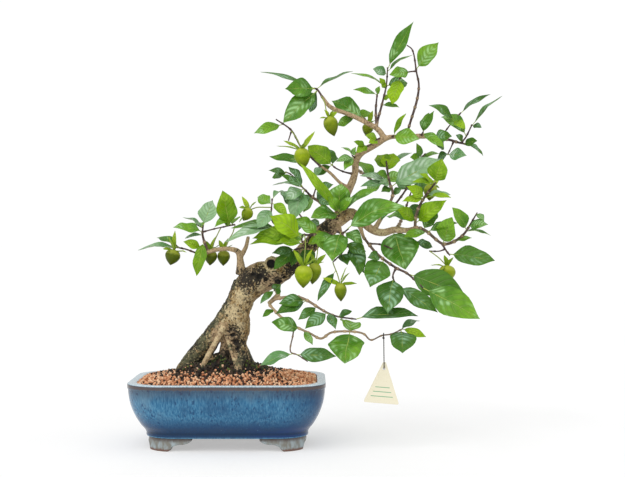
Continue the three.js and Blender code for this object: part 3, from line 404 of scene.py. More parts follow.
class Wiring:
    """Adds nodes to one tree and links them, for shaders, groups and geometry alike."""

    def __init__(self, tree: NodeTree) -> None:
        """Works on this tree."""
        self.tree = tree

    def feed(self, node: Node, inputs: dict) -> None:
        """Sets a node's inputs.

        Args:
            node: the node.
            inputs: values, sockets or nodes, by the input's name or number.
        """
        for key, value in inputs.items():
            if isinstance(value, Node):
                value = value.outputs[0]
            if isinstance(value, Socket):
                self.tree.links.new(value, node.inputs[key])
            else:
                node.inputs[key].default_value = value

    def add(self, kind: str, inputs: Optional[dict] = None, **settings: Value) -> Node:
        """Adds a node.

        Args:
            kind: the node's type.
            inputs: what its inputs get, by name or number.
            settings: its own properties.

        Returns:
            The new node.
        """
        node = self.tree.nodes.new(kind)
        down, across = divmod(len(self.tree.nodes), 12)
        node.location = (190 * across, -260 * down)
        for name, value in settings.items():
            setattr(node, name, value)
        self.feed(node, inputs or {})
        return node

    def math(self, operation: str, *terms: Value) -> Socket:
        """Puts sockets or numbers through one Math node."""
        return self.add("ShaderNodeMath", dict(enumerate(terms)), operation=operation).outputs[0]

    def times(self, first: Value, *factors: Value) -> Socket:
        """Multiplies numbers in order.

        Args:
            first: the first number.
            factors: the others.

        Returns:
            The product.
        """
        for factor in factors:
            first = self.math("MULTIPLY", first, factor)
        return first

    def plus(self, a: Value, b: Value) -> Socket:
        """Adds two numbers."""
        return self.math("ADD", a, b)

    def minus(self, a: Value, b: Value) -> Socket:
        """Takes the second number from the first."""
        return self.math("SUBTRACT", a, b)

    def line(self, value: Value, slope: Value, start: Value) -> Socket:
        """Gives the value times the slope, plus the start."""
        return self.math("MULTIPLY_ADD", value, slope, start)

    def vector(self, operation: str, first: Value, second: Value) -> Socket:
        """Puts vectors through one Vector Math node; SCALE takes a number second."""
        inputs = {0: first, "Scale" if operation == "SCALE" else 1: second}
        return self.add("ShaderNodeVectorMath", inputs, operation=operation).outputs[0]

    def mix(self, share: Value, a: Value, b: Value) -> Socket:
        """Mixes two colours."""
        return self.add("ShaderNodeMix", {0: share, 6: a, 7: b}, data_type="RGBA").outputs[2]

    def band(self, value: Value, low: float, high: float, most: float = 1.0, least: float = 0.0) -> Socket:
        """Rises smoothly from `least` at `low` to `most` at `high`, and is held beyond both."""
        inputs = {"Value": value, "From Min": low, "From Max": high, "To Min": least, "To Max": most}
        return self.add("ShaderNodeMapRange", inputs, interpolation_type="SMOOTHSTEP").outputs[0]

    def noise(self, vector: Value, scale: Value, detail: float = 3.0, rough: float = 0.55) -> Socket:
        """Gives a noise value from 0 to 1."""
        inputs = {"Vector": vector, "Scale": scale, "Detail": detail, "Roughness": rough}
        return self.add("ShaderNodeTexNoise", inputs).outputs[0]

    def parts(self, vector: Value) -> Sequence[Socket]:
        """Splits a vector into its x, y and z."""
        return self.add("ShaderNodeSeparateXYZ", {0: vector}).outputs

    def attribute(self, name: str) -> Socket:
        """Reads a number that the mesh carries, in a material."""
        return self.add("ShaderNodeAttribute", attribute_name=name).outputs["Fac"]

    def named(self, name: str, kind: str = "FLOAT") -> Socket:
        """Reads a geometry attribute inside a geometry tree."""
        return self.add("GeometryNodeInputNamedAttribute", {"Name": name}, data_type=kind).outputs[0]

    def place(self) -> Socket:
        """Gives the shading point in the piece's own coordinates."""
        return self.add("ShaderNodeTexCoord").outputs["Object"]

    def map(self) -> Socket:
        """Gives the shading point on the piece's own UV map."""
        return self.add("ShaderNodeUVMap", uv_map="UVMap").outputs[0]

    def sweep(self, lines: Socket, sides: Value, radius: Value, scale: Value = 1.0) -> Node:
        """Turns a mesh's edges into closed round tubes.

        Args:
            lines: the mesh.
            sides: the number of each tube's sides.
            radius: the radius of its section.
            scale: the section's size at each point.

        Returns:
            The node that gives the tubes.
        """
        path = self.add("GeometryNodeMeshToCurve", {"Mesh": lines})
        ring = self.add("GeometryNodeCurvePrimitiveCircle", {"Resolution": sides, "Radius": radius})
        inputs = {"Curve": path, "Profile Curve": ring, "Scale": scale, "Fill Caps": True}
        return self.add("GeometryNodeCurveToMesh", inputs)

    def end(self, geometry: Node, given: Sequence[Socket], leave: Node) -> NodeTree:
        """Ends a geometry tree with real meshes in their finish.

        Args:
            geometry: the node whose geometry leaves the tree.
            given: the tree's inputs.
            leave: the tree's output node.

        Returns:
            The tree.
        """
        real = self.add("GeometryNodeRealizeInstances", {"Geometry": geometry})
        dressed = self.add("GeometryNodeSetMaterial", {"Geometry": real, "Material": given["Finish"]})
        self.feed(leave, {0: dressed})
        return self.tree


def new_tree(name: str, kind: str, inputs: dict, outputs: dict) -> tuple:
    """Makes a node group with named sockets.

    Args:
        name: the group's name.
        kind: Shader or Geometry.
        inputs: by name, an input's number, or its type if it has none.
        outputs: by name, an output's type.

    Returns:
        The wiring of the tree, its inputs and its output node.
    """
    tree = bpy.data.node_groups.new(name, f"{kind}NodeTree")
    for label, value in inputs.items():
        typed = value if isinstance(value, str) else type(value).__name__.capitalize()
        socket = tree.interface.new_socket(name=label, in_out="INPUT", socket_type=f"NodeSocket{typed}")
        if typed != value:
            socket.default_value = value
    for label, typed in outputs.items():
        tree.interface.new_socket(name=label, in_out="OUTPUT", socket_type=f"NodeSocket{typed}")
    net = Wiring(tree)
    return net, net.add("NodeGroupInput").outputs, net.add("NodeGroupOutput")


def new_shape(name: str, inputs: dict) -> tuple:
    """Makes a geometry tree that takes a geometry, these inputs and a finish."""
    inputs = {"Geometry": "Geometry", **inputs, "Finish": "Material"}
    return new_tree(name, "Geometry", inputs, {"Geometry": "Geometry"})


def run_tree(carrier: Piece, tree: NodeTree, settings: dict, name: str) -> Piece:
    """Runs a geometry tree on a carrier and keeps the result as a plain mesh.

    Args:
        carrier: the object that the tree reads; it is removed.
        tree: the geometry tree.
        settings: values of its named inputs.
        name: the finished piece's name.

    Returns:
        The finished piece.
    """
    modifier = carrier.modifiers.new("Shape", "NODES")
    modifier.node_group = tree
    for item in tree.interface.items_tree:
        if item.item_type == "SOCKET" and item.in_out == "INPUT" and item.name in settings:
            modifier[item.identifier] = settings[item.name]
    return baked(carrier, name)


def colour(code: int) -> Colour:
    """Turns a screen colour into a linear one.

    Args:
        code: 0xRRGGBB.

    Returns:
        The colour with its alpha.
    """
    channels = [(code >> shift & 255) / 255 for shift in (16, 8, 0)]
    linear = [c / 12.92 if c <= 0.04045 else ((c + 0.055) / 1.055) ** 2.4 for c in channels]
    return (*linear, 1.0)


# Finishes


class Effects:
    """Shader groups that are built once and placed in each finish with its own values."""

    def __init__(self) -> None:
        """Builds every group."""
        self.speckle = self.build_speckle()
        self.patches = self.build_patches()
        self.veins = self.build_veins()

    @staticmethod
    def build_speckle() -> NodeTree:
        """Builds small scattered dots; Amount is the share of cells that carry one.

        Returns:
            The group.
        """
        inputs = {"Vector": "Vector", "Scale": 400.0, "Amount": 0.4, "Size": 0.3}
        net, given, leave = new_tree("speckle", "Shader", inputs, {"Mask": "Float"})
        place, scale = given["Vector"], given["Scale"]
        cloud = {"Vector": place, "Scale": net.times(scale, 1.6), "Detail": 2.0}
        drift = net.add("ShaderNodeTexNoise", cloud).outputs["Color"]
        drift = net.vector("SUBTRACT", drift, (0.5, 0.5, 0.5))
        drift = net.vector("MULTIPLY", drift, net.math("DIVIDE", 1.5, scale))
        cells = net.add("ShaderNodeTexVoronoi", {"Vector": net.vector("ADD", place, drift), "Scale": scale})
        chance = net.add("ShaderNodeSeparateColor", {0: cells.outputs["Color"]})
        chosen = net.math("LESS_THAN", chance, given["Amount"])
        dot = net.band(net.minus(given["Size"], cells.outputs["Distance"]), 0.0, 0.12)
        net.feed(leave, {"Mask": net.times(dot, chosen)})
        return net.tree

    @staticmethod
    def build_patches() -> NodeTree:
        """Builds soft uneven patches; Cover is the share of the surface that they take.

        Returns:
            The group.
        """
        inputs = {"Vector": "Vector", "Scale": 60.0, "Cover": 0.5, "Softness": 0.1}
        net, given, leave = new_tree("patches", "Shader", inputs, {"Mask": "Float"})
        cloud = net.noise(given["Vector"], given["Scale"], 4.0, 0.5)
        middle = net.minus(0.75, net.times(given["Cover"], 0.5))
        share = net.math("DIVIDE", net.minus(cloud, middle), given["Softness"])
        net.feed(leave, {"Mask": net.band(net.plus(share, 0.5), 0.0, 1.0)})
        return net.tree

    @staticmethod
    def build_veins() -> NodeTree:
        """Builds a leaf's midrib, its side veins and the fine net between them from its UV map, with the
        relief's height and a mask for the painted sheen.

        Returns:
            The group.
        """
        names = ("Midrib", "Side veins", "Height", "Sheen")
        inputs = {"UV": "Vector", "Pairs": 6.5}
        net, given, leave = new_tree("leaf_veins", "Shader", inputs, dict.fromkeys(names, "Float"))
        across, along = net.parts(given["UV"])[:2]
        away = net.math("ABSOLUTE", net.line(across, 2.0, -1.0))
        midrib = net.band(net.math("DIVIDE", away, net.line(along, -0.035, 0.06)), 1.0, 0.3)
        curve = net.times(net.math("POWER", away, 1.3), 0.3)
        strip = net.math("FRACT", net.times(net.minus(along, curve), given["Pairs"]))
        wave = net.math("ABSOLUTE", net.line(strip, 2.0, -1.0))
        fade = net.band(away, 1.0, 0.6)
        side = net.times(net.band(wave, 0.84, 0.98), fade)
        cells = {"Vector": given["UV"], "Scale": 34.0}
        web = net.band(net.add("ShaderNodeTexVoronoi", cells, feature="DISTANCE_TO_EDGE"), 0.12, 0.0)
        height = net.times(net.minus(1.0, wave), 0.35)
        for vein, depth in ((side, 0.4), (midrib, 0.9), (web, 0.05)):
            height = net.minus(height, net.times(vein, depth))
        # the mask for the painted sheen, strongest on the flanks between side veins
        flank = net.times(net.band(strip, 0.1, 0.4), net.band(strip, 0.9, 0.55))
        sheen = net.times(net.line(flank, 0.75, 0.25), fade)
        net.feed(leave, dict(zip(names, (midrib, side, height, sheen))))
        return net.tree


class Paint(Wiring):
    """A material under construction: a first colour, and the coats laid over it."""

    def __init__(self, name: str, effects: Effects) -> None:
        """Starts the material with one shader.

        Args:
            name: the material's name.
            effects: the shared shader groups.
        """
        self.material = bpy.data.materials.new(name)
        self.material.use_nodes = True
        self.material.node_tree.nodes.clear()
        super().__init__(self.material.node_tree)
        self.effects = effects
        self.shader = self.add("ShaderNodeBsdfPrincipled")
        self.add("ShaderNodeOutputMaterial", {"Surface": self.shader})
        self.top: Value = WHITE

    def group(self, tree: NodeTree, **inputs: Value) -> Sequence[Socket]:
        """Places a shared group and gives its outputs."""
        return self.add("ShaderNodeGroup", inputs, node_tree=tree).outputs

    def dots(self, place: Socket, scale: float, amount: float, size: float) -> Socket:
        """Gives a mask of scattered dots."""
        return self.group(self.effects.speckle, Vector=place, Scale=scale, Amount=amount, Size=size)[0]

    def drawn(self, place: Socket, upward: float) -> Socket:
        """Gives a place whose patterns are drawn out upwards where `upward` is below 1."""
        return self.vector("MULTIPLY", place, (1.0, 1.0, upward))

    def start(self, first: int, second: int, share: Value) -> None:
        """Lays the first colour, with a second one where `share` is high."""
        self.top = self.mix(share, colour(first), colour(second))

    def coat(self, code: int, share: Value) -> None:
        """Lays a colour over the rest where `share` is high."""
        self.top = self.mix(share, self.top, colour(code))

    def coats(self, *rows: tuple) -> None:
        """Lays coats in order, each row a colour and the terms of its band."""
        for code, *terms in rows:
            self.coat(code, self.band(*terms))

    def finish(
        self, rough: Value, height: Socket, depth: float, strength: float, shine: float = 0.5
    ) -> Material:
        """Feeds the shader and gives the material.

        Args:
            rough: the roughness.
            height: the relief.
            depth: the relief's height in metres.
            strength: how strongly it shows.
            shine: the level of the mirror reflection.

        Returns:
            The finished material.
        """
        bump = self.add("ShaderNodeBump", {"Strength": strength, "Distance": depth, "Height": height})
        inputs = {"Base Color": self.top, "Roughness": rough, "Specular IOR Level": shine, "Normal": bump}
        self.feed(self.shader, inputs)
        return self.material


@dataclass(frozen=True)
class LeafFinish:
    """A leaf blade: glossy above with sunk veins, painted shade in the hollows of its relief and a painted
    sheen between its side veins, paler and duller beneath.
    """

    name: str
    upper: int
    young: int
    underside: int
    vein: int
    shade: int
    sheen: int
    # how strongly the painted sheen shows
    gloss: float = 0.6
    roughness: float = 0.3

    def material(self, effects: Effects) -> Material:
        """Builds the material.

        Args:
            effects: the shared shader groups.

        Returns:
            The finished material.
        """
        net = Paint(self.name, effects)
        veins = net.group(effects.veins, UV=net.map())
        under = net.attribute("underside")
        clouds = net.noise(net.place(), 55.0)
        youth = net.plus(net.attribute("tint"), net.line(net.parts(net.map())[1], 0.6, -1.1))
        net.start(self.upper, self.young, net.band(net.line(clouds, 1.6, youth), 0.0, 1.0))
        # painted shade in the low hollows of the vein relief
        net.coat(self.shade, net.band(veins["Height"], 0.28, -0.2, 0.34))
        # painted sheen: pale patches between the side veins stand in for glossy reflections
        glints = net.band(net.noise(net.place(), 48.0, 2.0), 0.48, 0.64, self.gloss)
        net.coat(self.sheen, net.times(veins["Sheen"], glints))
        ribs = net.math("MAXIMUM", veins["Midrib"], net.times(veins["Side veins"], 0.55))
        ribs = net.times(ribs, 0.6)
        net.coat(self.vein, ribs)
        net.top = net.mix(under, net.top, net.mix(ribs, colour(self.underside), colour(self.vein)))
        dull = net.band(clouds, 0.35, 0.65, self.roughness + 0.14, self.roughness)
        return net.finish(net.line(under, 0.25, dull), veins["Height"], 0.0011, 0.7, 0.26)


@dataclass(frozen=True)
class BarkFinish:
    """Old bark on the trunk, smooth young bark on its branches, what grows on both, and painted shade in its
    cracks, clefts and hollows.
    """

    name: str = "bark"
    tan: int = 0xB49C70
    ochre: int = 0x8E7040
    shade: int = 0x33291F
    soot: int = 0x110F0C
    moss: int = 0x50533A
    cream: int = 0xCDBA90
    young: int = 0xB29A76
    tip: int = 0x80664C
    pale: int = 0xD2B48E
    bud: int = 0x5E4634

    def material(self, effects: Effects) -> Material:
        """Builds the material.

        Args:
            effects: the shared shader groups.

        Returns:
            The finished material.
        """
        net = Paint(self.name, effects)
        place = net.place()
        wide = net.noise(net.drawn(place, 0.45), 130.0, 4.0)
        fine = net.noise(place, 420.0, 5.0, 0.7)
        girth = net.attribute("girth")
        old = net.mix(net.band(wide, 0.38, 0.62), colour(self.tan), colour(self.ochre))
        fresh = net.mix(net.band(fine, 0.42, 0.7, 0.8), colour(self.young), colour(self.tip))
        net.top = net.mix(net.band(girth, 9.5, 5.5), old, fresh)
        thick = net.band(girth, 3.5, 9.0)
        thin = net.minus(1.0, thick)
        # the soot layer is black growth on the bark and also painted shade in the hollows of the trunk
        growths = (("moss", 240.0, 0.22, 0.75), ("cream", 300.0, 0.2, 0.6), ("soot", 360.0, 0.3, 0.62))
        for layer, scale, least, most in growths:
            cover = net.line(net.attribute(layer), most, net.times(thick, least))
            patch = net.group(effects.patches, Vector=place, Scale=scale, Cover=cover, Softness=0.2)
            net.coat(getattr(self, layer), net.times(patch[0], 0.95))
        for code, scale, amount, where in (
            (self.cream, 330.0, 0.24, thick),
            (self.soot, 400.0, 0.3, thick),
            (self.pale, 240.0, 0.42, thin),
            (self.bud, 280.0, 0.34, thin),
        ):
            net.coat(code, net.times(net.dots(place, scale, amount, 0.42), where, 0.7))
        net.coat(self.shade, net.band(fine, 0.5, 0.78, 0.7))
        # painted shade deep in the bark's cracks
        net.coat(self.shade, net.times(net.attribute("cavity"), 0.9))
        # painted shade in the soot colour inside the healed cut's hollow and the clefts
        net.coat(self.soot, net.attribute("hollow"))
        return net.finish(0.86, fine, 0.0008, 0.9)


@dataclass(frozen=True)
class TwigFinish:
    """A thin twig, from purple-brown wood to a green leaf stalk."""

    name: str = "twig"
    woody: int = 0x5C443C
    dark: int = 0x332421
    thick: int = 0xC2A882
    green: int = 0x9DB04A

    def material(self, effects: Effects) -> Material:
        """Builds the material.

        Args:
            effects: the shared shader groups.

        Returns:
            The finished material.
        """
        net = Paint(self.name, effects)
        place = net.place()
        grain = net.noise(place, 260.0, 4.0, 0.65)
        net.start(self.dark, self.woody, net.band(grain, 0.38, 0.62))
        net.coat(self.thick, net.times(net.attribute("age"), 0.9))
        net.coat(self.dark, net.times(net.dots(place, 700.0, 0.3, 0.34), 0.6))
        net.coat(self.green, net.attribute("green"))
        return net.finish(0.62, grain, 0.0003, 0.6)


@dataclass(frozen=True)
class GlazeFinish:
    """Blue glaze that runs down the pot, breaks brown on its edges and pools dark at its foot, with painted
    shade towards its right end and a painted highlight on its lip.
    """

    name: str = "glaze"
    blue: int = 0x2E6C92
    light: int = 0x5A92B2
    deep: int = 0x0C3C66
    base: int = 0x04243E
    lip: int = 0xD2E2EC
    brown: int = 0x564842
    clay: int = 0x9BA7AA
    earth: int = 0x7C7A72
    rust: int = 0x6A4636
    mist: int = 0x8FA6AC
    cobalt: int = 0x06306C

    def material(self, effects: Effects) -> Material:
        """Builds the material; its heights and lengths are in millimetres.

        Args:
            effects: the shared shader groups.

        Returns:
            The finished material.
        """
        net = Paint(self.name, effects)
        place = net.place()
        parts = net.parts(place)
        height = net.math("DIVIDE", parts[2], MM)
        across = net.minus(net.math("DIVIDE", parts[0], MM), SHIFT[0])
        runs = net.noise(net.drawn(place, 0.16), 560.0, 4.0, 0.6)
        clouds = net.noise(place, 24.0, 3.0)
        low = net.plus(height, net.line(clouds, 26.0, -13.0))
        edge = net.plus(height, net.line(runs, 5.0, -2.5))
        net.start(self.blue, self.light, net.band(runs, 0.42, 0.72, 0.8))
        net.coats(
            (self.deep, runs, 0.48, 0.3, 0.55),
            (self.deep, clouds, 0.45, 0.72, 0.6),
            (self.mist, clouds, 0.5, 0.25, 0.3),
            (self.deep, low, 50.0, 30.0, 0.9),
            (self.base, height, 36.0, 26.0, 0.5),
            # painted shade: darker towards the pot's right end
            (self.deep, across, 60.0, 128.0, 0.75),
        )
        pool = net.times(net.band(low, 36.0, 22.0), net.band(across, 10.0, 70.0, 0.7, 0.15))
        net.coat(self.cobalt, pool)
        spots = net.drawn(place, 0.5)
        net.coat(self.deep, net.times(net.dots(spots, 260.0, 0.34, 0.42), 0.75))
        net.coat(self.light, net.times(net.dots(spots, 300.0, 0.1, 0.2), 0.75))
        net.coats((self.base, edge, 62.0, 80.0, 0.4), (self.brown, edge, 66.0, 82.0, 0.28))
        rim = net.times(net.band(edge, 81.5, 83.5), net.band(height, 87.0, 86.0), 0.85)
        net.coat(self.brown, rim)
        # painted highlight: the pale blue-white top of the lip stands in for the light on it
        lip = net.mix(net.band(runs, 0.3, 0.65), colour(self.mist), colour(self.lip))
        net.top = net.mix(net.band(height, 86.6, 87.4), net.top, lip)
        groove = net.times(net.band(height, 20.5, 22.5), net.band(height, 26.5, 23.5), 0.6)
        net.coat(self.base, groove)
        bead = net.times(net.band(height, 17.2, 17.7), net.band(height, 19.2, 18.6))
        net.coat(self.light, net.times(bead, net.band(runs, 0.35, 0.6, 0.8, 0.3)))
        drips = net.noise(net.drawn(place, 0.45), 150.0, 3.0)
        glazed = net.top
        net.start(self.earth, self.clay, net.band(drips, 0.36, 0.64))
        net.coats((self.brown, edge, 10.5, 16.0, 0.85), (self.rust, edge, 4.5, 1.5, 0.9))
        foot = net.band(height, 17.3, 16.9)
        net.top = net.mix(foot, glazed, net.top)
        net.feed(net.shader, {"Coat Weight": 0.14, "Coat Roughness": 0.12})
        return net.finish(net.line(foot, 0.3, 0.2), runs, 0.0005, 0.25, 0.25)


@dataclass(frozen=True)
class GrainFinish:
    """Loose bits whose colour differs from one to the next."""

    name: str
    dark: int
    middle: int
    light: int
    roughness: float = 0.9

    def material(self, effects: Effects) -> Material:
        """Builds the material.

        Args:
            effects: the shared shader groups.

        Returns:
            The finished material.
        """
        net = Paint(self.name, effects)
        tint = net.attribute("tint")
        pores = net.noise(net.place(), 900.0, 4.0, 0.7)
        net.start(self.dark, self.middle, net.band(tint, 0.0, 0.5))
        net.coats((self.light, tint, 0.5, 1.0), (self.dark, pores, 0.5, 0.8, 0.5))
        return net.finish(self.roughness, pores, 0.0006, 0.8)


@dataclass(frozen=True)
class FruitFinish:
    """The skin of an unripe fruit, with painted shade in olive towards its tip and a painted highlight near
    its top.
    """

    name: str = "fruit_skin"
    green: int = 0x86A008
    light: int = 0xA8BE1C
    dark: int = 0x3A4804
    olive: int = 0x404A0A
    crown: int = 0xC6CE52

    def material(self, effects: Effects) -> Material:
        """Builds the material.

        Args:
            effects: the shared shader groups.

        Returns:
            The finished material.
        """
        net = Paint(self.name, effects)
        place = net.place()
        clouds = net.noise(place, 130.0, 3.0)
        net.start(self.green, self.light, net.band(clouds, 0.35, 0.7))
        net.coat(self.dark, net.attribute("shade"))
        reach = net.plus(net.parts(net.map())[1], net.line(clouds, 0.3, -0.15))
        # painted shade in olive towards the tip, and a painted highlight in the crown colour near the top
        net.coats((self.olive, reach, 0.5, 1.0, 0.8), (self.crown, reach, 0.42, 0.2, 0.4))
        net.coat(self.light, net.times(net.dots(place, 900.0, 0.3, 0.26), 0.35))
        return net.finish(0.36, clouds, 0.0005, 0.15, 0.14)


@dataclass(frozen=True)
class CardFinish:
    """A cream card with a few ruled lines to write on."""

    name: str = "tag_card"
    paper: int = 0xE6DFC6
    fleck: int = 0xD2C6A0
    line: int = 0x2F9E6A
    rules: tuple = ((-24.0, 9.5), (-30.0, 12.0), (-36.0, 14.5))

    def material(self, effects: Effects) -> Material:
        """Builds the material; each rule is a height below the hole and half its length.

        Args:
            effects: the shared shader groups.

        Returns:
            The finished material.
        """
        net = Paint(self.name, effects)
        across, up = net.parts(net.map())[:2]
        fibre = net.noise(net.place(), 500.0, 5.0, 0.7)
        net.start(self.paper, self.fleck, net.band(fibre, 0.5, 0.8, 0.6))
        side = net.math("ABSOLUTE", across)
        for row, reach in self.rules:
            away = net.math("ABSOLUTE", net.minus(up, row))
            ink = net.times(net.band(away, 0.55, 0.35), net.band(side, reach, reach - 0.4), 0.85)
            net.coat(self.line, ink)
        return net.finish(0.7, fibre, 0.0002, 0.4)


@dataclass(frozen=True)
class PlainFinish:
    """An even material with a fine mottle, such as string, plastic or the floor."""

    name: str
    base: int
    mottle: int
    scale: float
    roughness: float
    glow: float = 0.0

    def material(self, effects: Effects) -> Material:
        """Builds the material.

        Args:
            effects: the shared shader groups.

        Returns:
            The finished material.
        """
        net = Paint(self.name, effects)
        grain = net.noise(net.place(), self.scale, 4.0, 0.6)
        net.start(self.base, self.mottle, net.band(grain, 0.35, 0.65))
        net.feed(net.shader, {"Emission Color": WHITE, "Emission Strength": self.glow})
        return net.finish(self.roughness, grain, 0.0002, 0.4)


# Geometry trees and the small shapes that they repeat

# Share of a blade's length and of its width, from its base to its tip.
LEAF_OUTLINE = (
    (0.0, 0.0), (0.04, 0.18), (0.09, 0.4), (0.17, 0.68), (0.27, 0.89), (0.37, 0.99), (0.47, 1.0),
    (0.57, 0.95), (0.67, 0.83), (0.76, 0.65), (0.84, 0.43), (0.91, 0.22), (0.96, 0.09), (1.0, 0.0),
)
LOBE_OUTLINE = ((0.0, 0.0), (0.05, 0.55), (0.2, 0.85), (0.42, 1.0), (0.64, 0.84), (0.83, 0.5), (1.0, 0.0))


class Shapes:
    """The geometry trees and the small shapes that they repeat."""

    def __init__(self) -> None:
        """Builds every tree and shape."""
        self.blades = self.build_blades()
        self.twigs = self.build_twigs()
        self.bits = self.build_bits()
        self.screen = self.build_screen()
        self.leaf = unit_blade("leaf_shape", LEAF_OUTLINE, 0.09, 6)
        self.lobe = unit_blade("lobe_shape", LOBE_OUTLINE, 0.0, 3)
        self.grain = unit_grain("grain_shape", 0.3)
        self.crumb = unit_grain("crumb_shape", 0.5)

    @staticmethod
    def build_blades() -> NodeTree:
        """Builds the tree that sets a blade on each point and shapes it from the point's values.

        Returns:
            The tree.
        """
        inputs = {"Blade": "Object", "Fold": FOLD, "Wave": WAVE, "Thickness": 0.45 * MM}
        net, given, leave = new_shape("blades", inputs)
        shape = net.add("GeometryNodeObjectInfo", {"Object": given["Blade"]}).outputs["Geometry"]
        copies = net.add("GeometryNodeInstanceOnPoints", {"Points": given["Geometry"], "Instance": shape})
        real = net.add("GeometryNodeRealizeInstances", {"Geometry": copies})
        share, side, phase, half = (net.named(name) for name in ("share", "side", "phase", "half"))
        ripple = net.math("SINE", net.line(share, 11.0, net.line(side, 1.7, net.times(phase, 3.0))))
        spread = net.math("POWER", net.named("outline"), net.named("taper"))
        spread = net.times(spread, net.line(ripple, 0.06, 1.0), half)
        turn = net.plus(net.line(share, 11.0, phase), side)
        slope = net.plus(given["Fold"], net.times(net.math("SINE", turn), given["Wave"]))
        lift = net.times(spread, net.math("ABSOLUTE", side), slope)
        roll = net.math("SINE", net.line(share, SWAY_RATE, net.times(phase, 2.0)))
        sway = net.line(net.times(roll, half), SWAY, net.named("bend"))
        arch = net.times(share, net.minus(1.0, share), 4.0, sway)
        sink = net.times(net.named("sheet"), given["Thickness"])
        rise = net.minus(net.plus(arch, lift), sink)
        place = net.named("start", "FLOAT_VECTOR")
        for name, amount in (("axis", share), ("across", net.times(spread, side)), ("facing", rise)):
            step = net.vector("SCALE", net.named(name, "FLOAT_VECTOR"), amount)
            place = net.vector("ADD", place, step)
        moved = net.add("GeometryNodeSetPosition", {"Geometry": real, "Position": place})
        return net.end(moved, given, leave)

    @staticmethod
    def build_twigs() -> NodeTree:
        """Builds the tree that turns lines with a radius at each point into knobbly round twigs.

        Returns:
            The tree.
        """
        net, given, leave = new_shape("twigs", {"Sides": 8, "Knobs": 0.12})
        radius = net.named("radius")
        tubes = net.sweep(given["Geometry"], given["Sides"], 1.0, radius)
        lumps = net.line(net.noise(net.add("GeometryNodeInputPosition"), 420.0, 2.0), 2.0, -1.0)
        amount = net.times(lumps, radius, given["Knobs"])
        offset = net.vector("SCALE", net.add("GeometryNodeInputNormal"), amount)
        moved = net.add("GeometryNodeSetPosition", {"Geometry": tubes, "Offset": offset})
        return net.end(net.add("GeometryNodeSetShadeSmooth", {"Geometry": moved}), given, leave)

    @staticmethod
    def build_bits() -> NodeTree:
        """Builds the tree that strews loose bits over a bed, each turned and sized by chance.

        Returns:
            The tree.
        """
        net, given, leave = new_shape("loose_bits", {
            "Bit": "Object", "Spacing": 4.0 * MM, "Density": 90000.0, "Smallest": 0.8, "Largest": 1.2,
            "Radius": 2.3 * MM, "Lift": 0.0, "Seed": 7,
        })
        spread = net.add("GeometryNodeDistributePointsOnFaces", {
            "Mesh": given["Geometry"], "Distance Min": given["Spacing"], "Density Max": given["Density"],
            "Density Factor": net.named("cover"), "Seed": given["Seed"],
        }, distribute_method="POISSON")
        full_turn = (6.283, 6.283, 6.283)
        turn = net.add("FunctionNodeRandomValue", {1: full_turn}, data_type="FLOAT_VECTOR")
        limits = {2: given["Smallest"], 3: given["Largest"], "Seed": 3}
        size = net.add("FunctionNodeRandomValue", limits).outputs[1]
        shape = net.add("GeometryNodeObjectInfo", {"Object": given["Bit"]}).outputs["Geometry"]
        copies = net.add("GeometryNodeInstanceOnPoints", {
            "Points": spread, "Instance": shape, "Rotation": turn, "Scale": net.times(size, given["Radius"]),
        })
        chance = net.add("FunctionNodeRandomValue", {"Seed": 11}).outputs[1]
        inputs = {"Geometry": copies, "Name": "tint", "Value": chance}
        tinted = net.add("GeometryNodeStoreNamedAttribute", inputs, domain="INSTANCE")
        up = net.add("ShaderNodeCombineXYZ", {"Z": given["Lift"]})
        raised = net.add("GeometryNodeSetPosition", {"Geometry": tinted, "Offset": up})
        return net.end(raised, given, leave)

    @staticmethod
    def build_screen() -> NodeTree:
        """Builds the tree that turns a grid's edges into the round strands of a screen."""
        net, given, leave = new_shape("drain_screen", {"Strand": 0.5 * MM})
        return net.end(net.sweep(given["Geometry"], 8, given["Strand"]), given, leave)


def unit_blade(name: str, outline: Sequence[tuple], stalk: float, columns: int) -> Piece:
    """Makes the flat closed shell that the blade tree shapes.

    Args:
        name: the shape's name.
        outline: share of the blade's length and of its width, from its base to its tip.
        stalk: the share of the leaf's length that its stalk takes.
        columns: columns of faces on each side of the midrib.

    Returns:
        An object outside the scene.
    """
    width = 2 * columns + 1
    rows = outline[1:-1]
    upper = [(0.0, 0.0, 0.0)]
    for share, spread in rows:
        for column in range(width):
            side = column / columns - 1
            upper.append((share, math.copysign(abs(side) ** 0.85, side), spread))
    upper.append((1.0, 0.0, 0.0))
    tip = len(upper) - 1
    points = [(*point, 0.0) for point in upper]
    # The lower sheet's point for each upper one: the same point along the rim.
    lower = {0: 0, tip: tip}
    for index in range(1, tip):
        if (index - 1) % width in (0, width - 1):
            lower[index] = index
        else:
            lower[index] = len(points)
            points.append((*upper[index], 1.0))
    faces = []
    for column in range(width - 1):
        faces.append((1 + column, 2 + column, 0))
        last = 1 + (len(rows) - 1) * width + column
        faces.append((last, tip, last + 1))
        for row in range(len(rows) - 1):
            a = 1 + row * width + column
            faces.append((a, a + width, a + width + 1, a + 1))
    turned = [tuple(lower[index] for index in reversed(face)) for face in faces]
    mesh = bpy.data.meshes.new(name)
    mesh.from_pydata([(side, share, -0.01 * sheet) for share, side, _, sheet in points], [], faces + turned)
    shares, *others = zip(*points)
    write(mesh, "share", [stalk + (1 - stalk) * share for share in shares])
    for key, values in zip(("side", "outline", "sheet"), others):
        write(mesh, key, values)
    write(mesh, "underside", [0.0] * len(faces) + [1.0] * len(turned), domain="FACE")
    write_map(mesh, np.array([(0.5 + point[1] / 2, point[0]) for point in points]))
    mesh.shade_smooth()
    on_rim = [all(lower.get(index) == index for index in edge.vertices) for edge in mesh.edges]
    write(mesh, "sharp_edge", on_rim, "BOOLEAN", "EDGE")
    return bpy.data.objects.new(name, mesh)


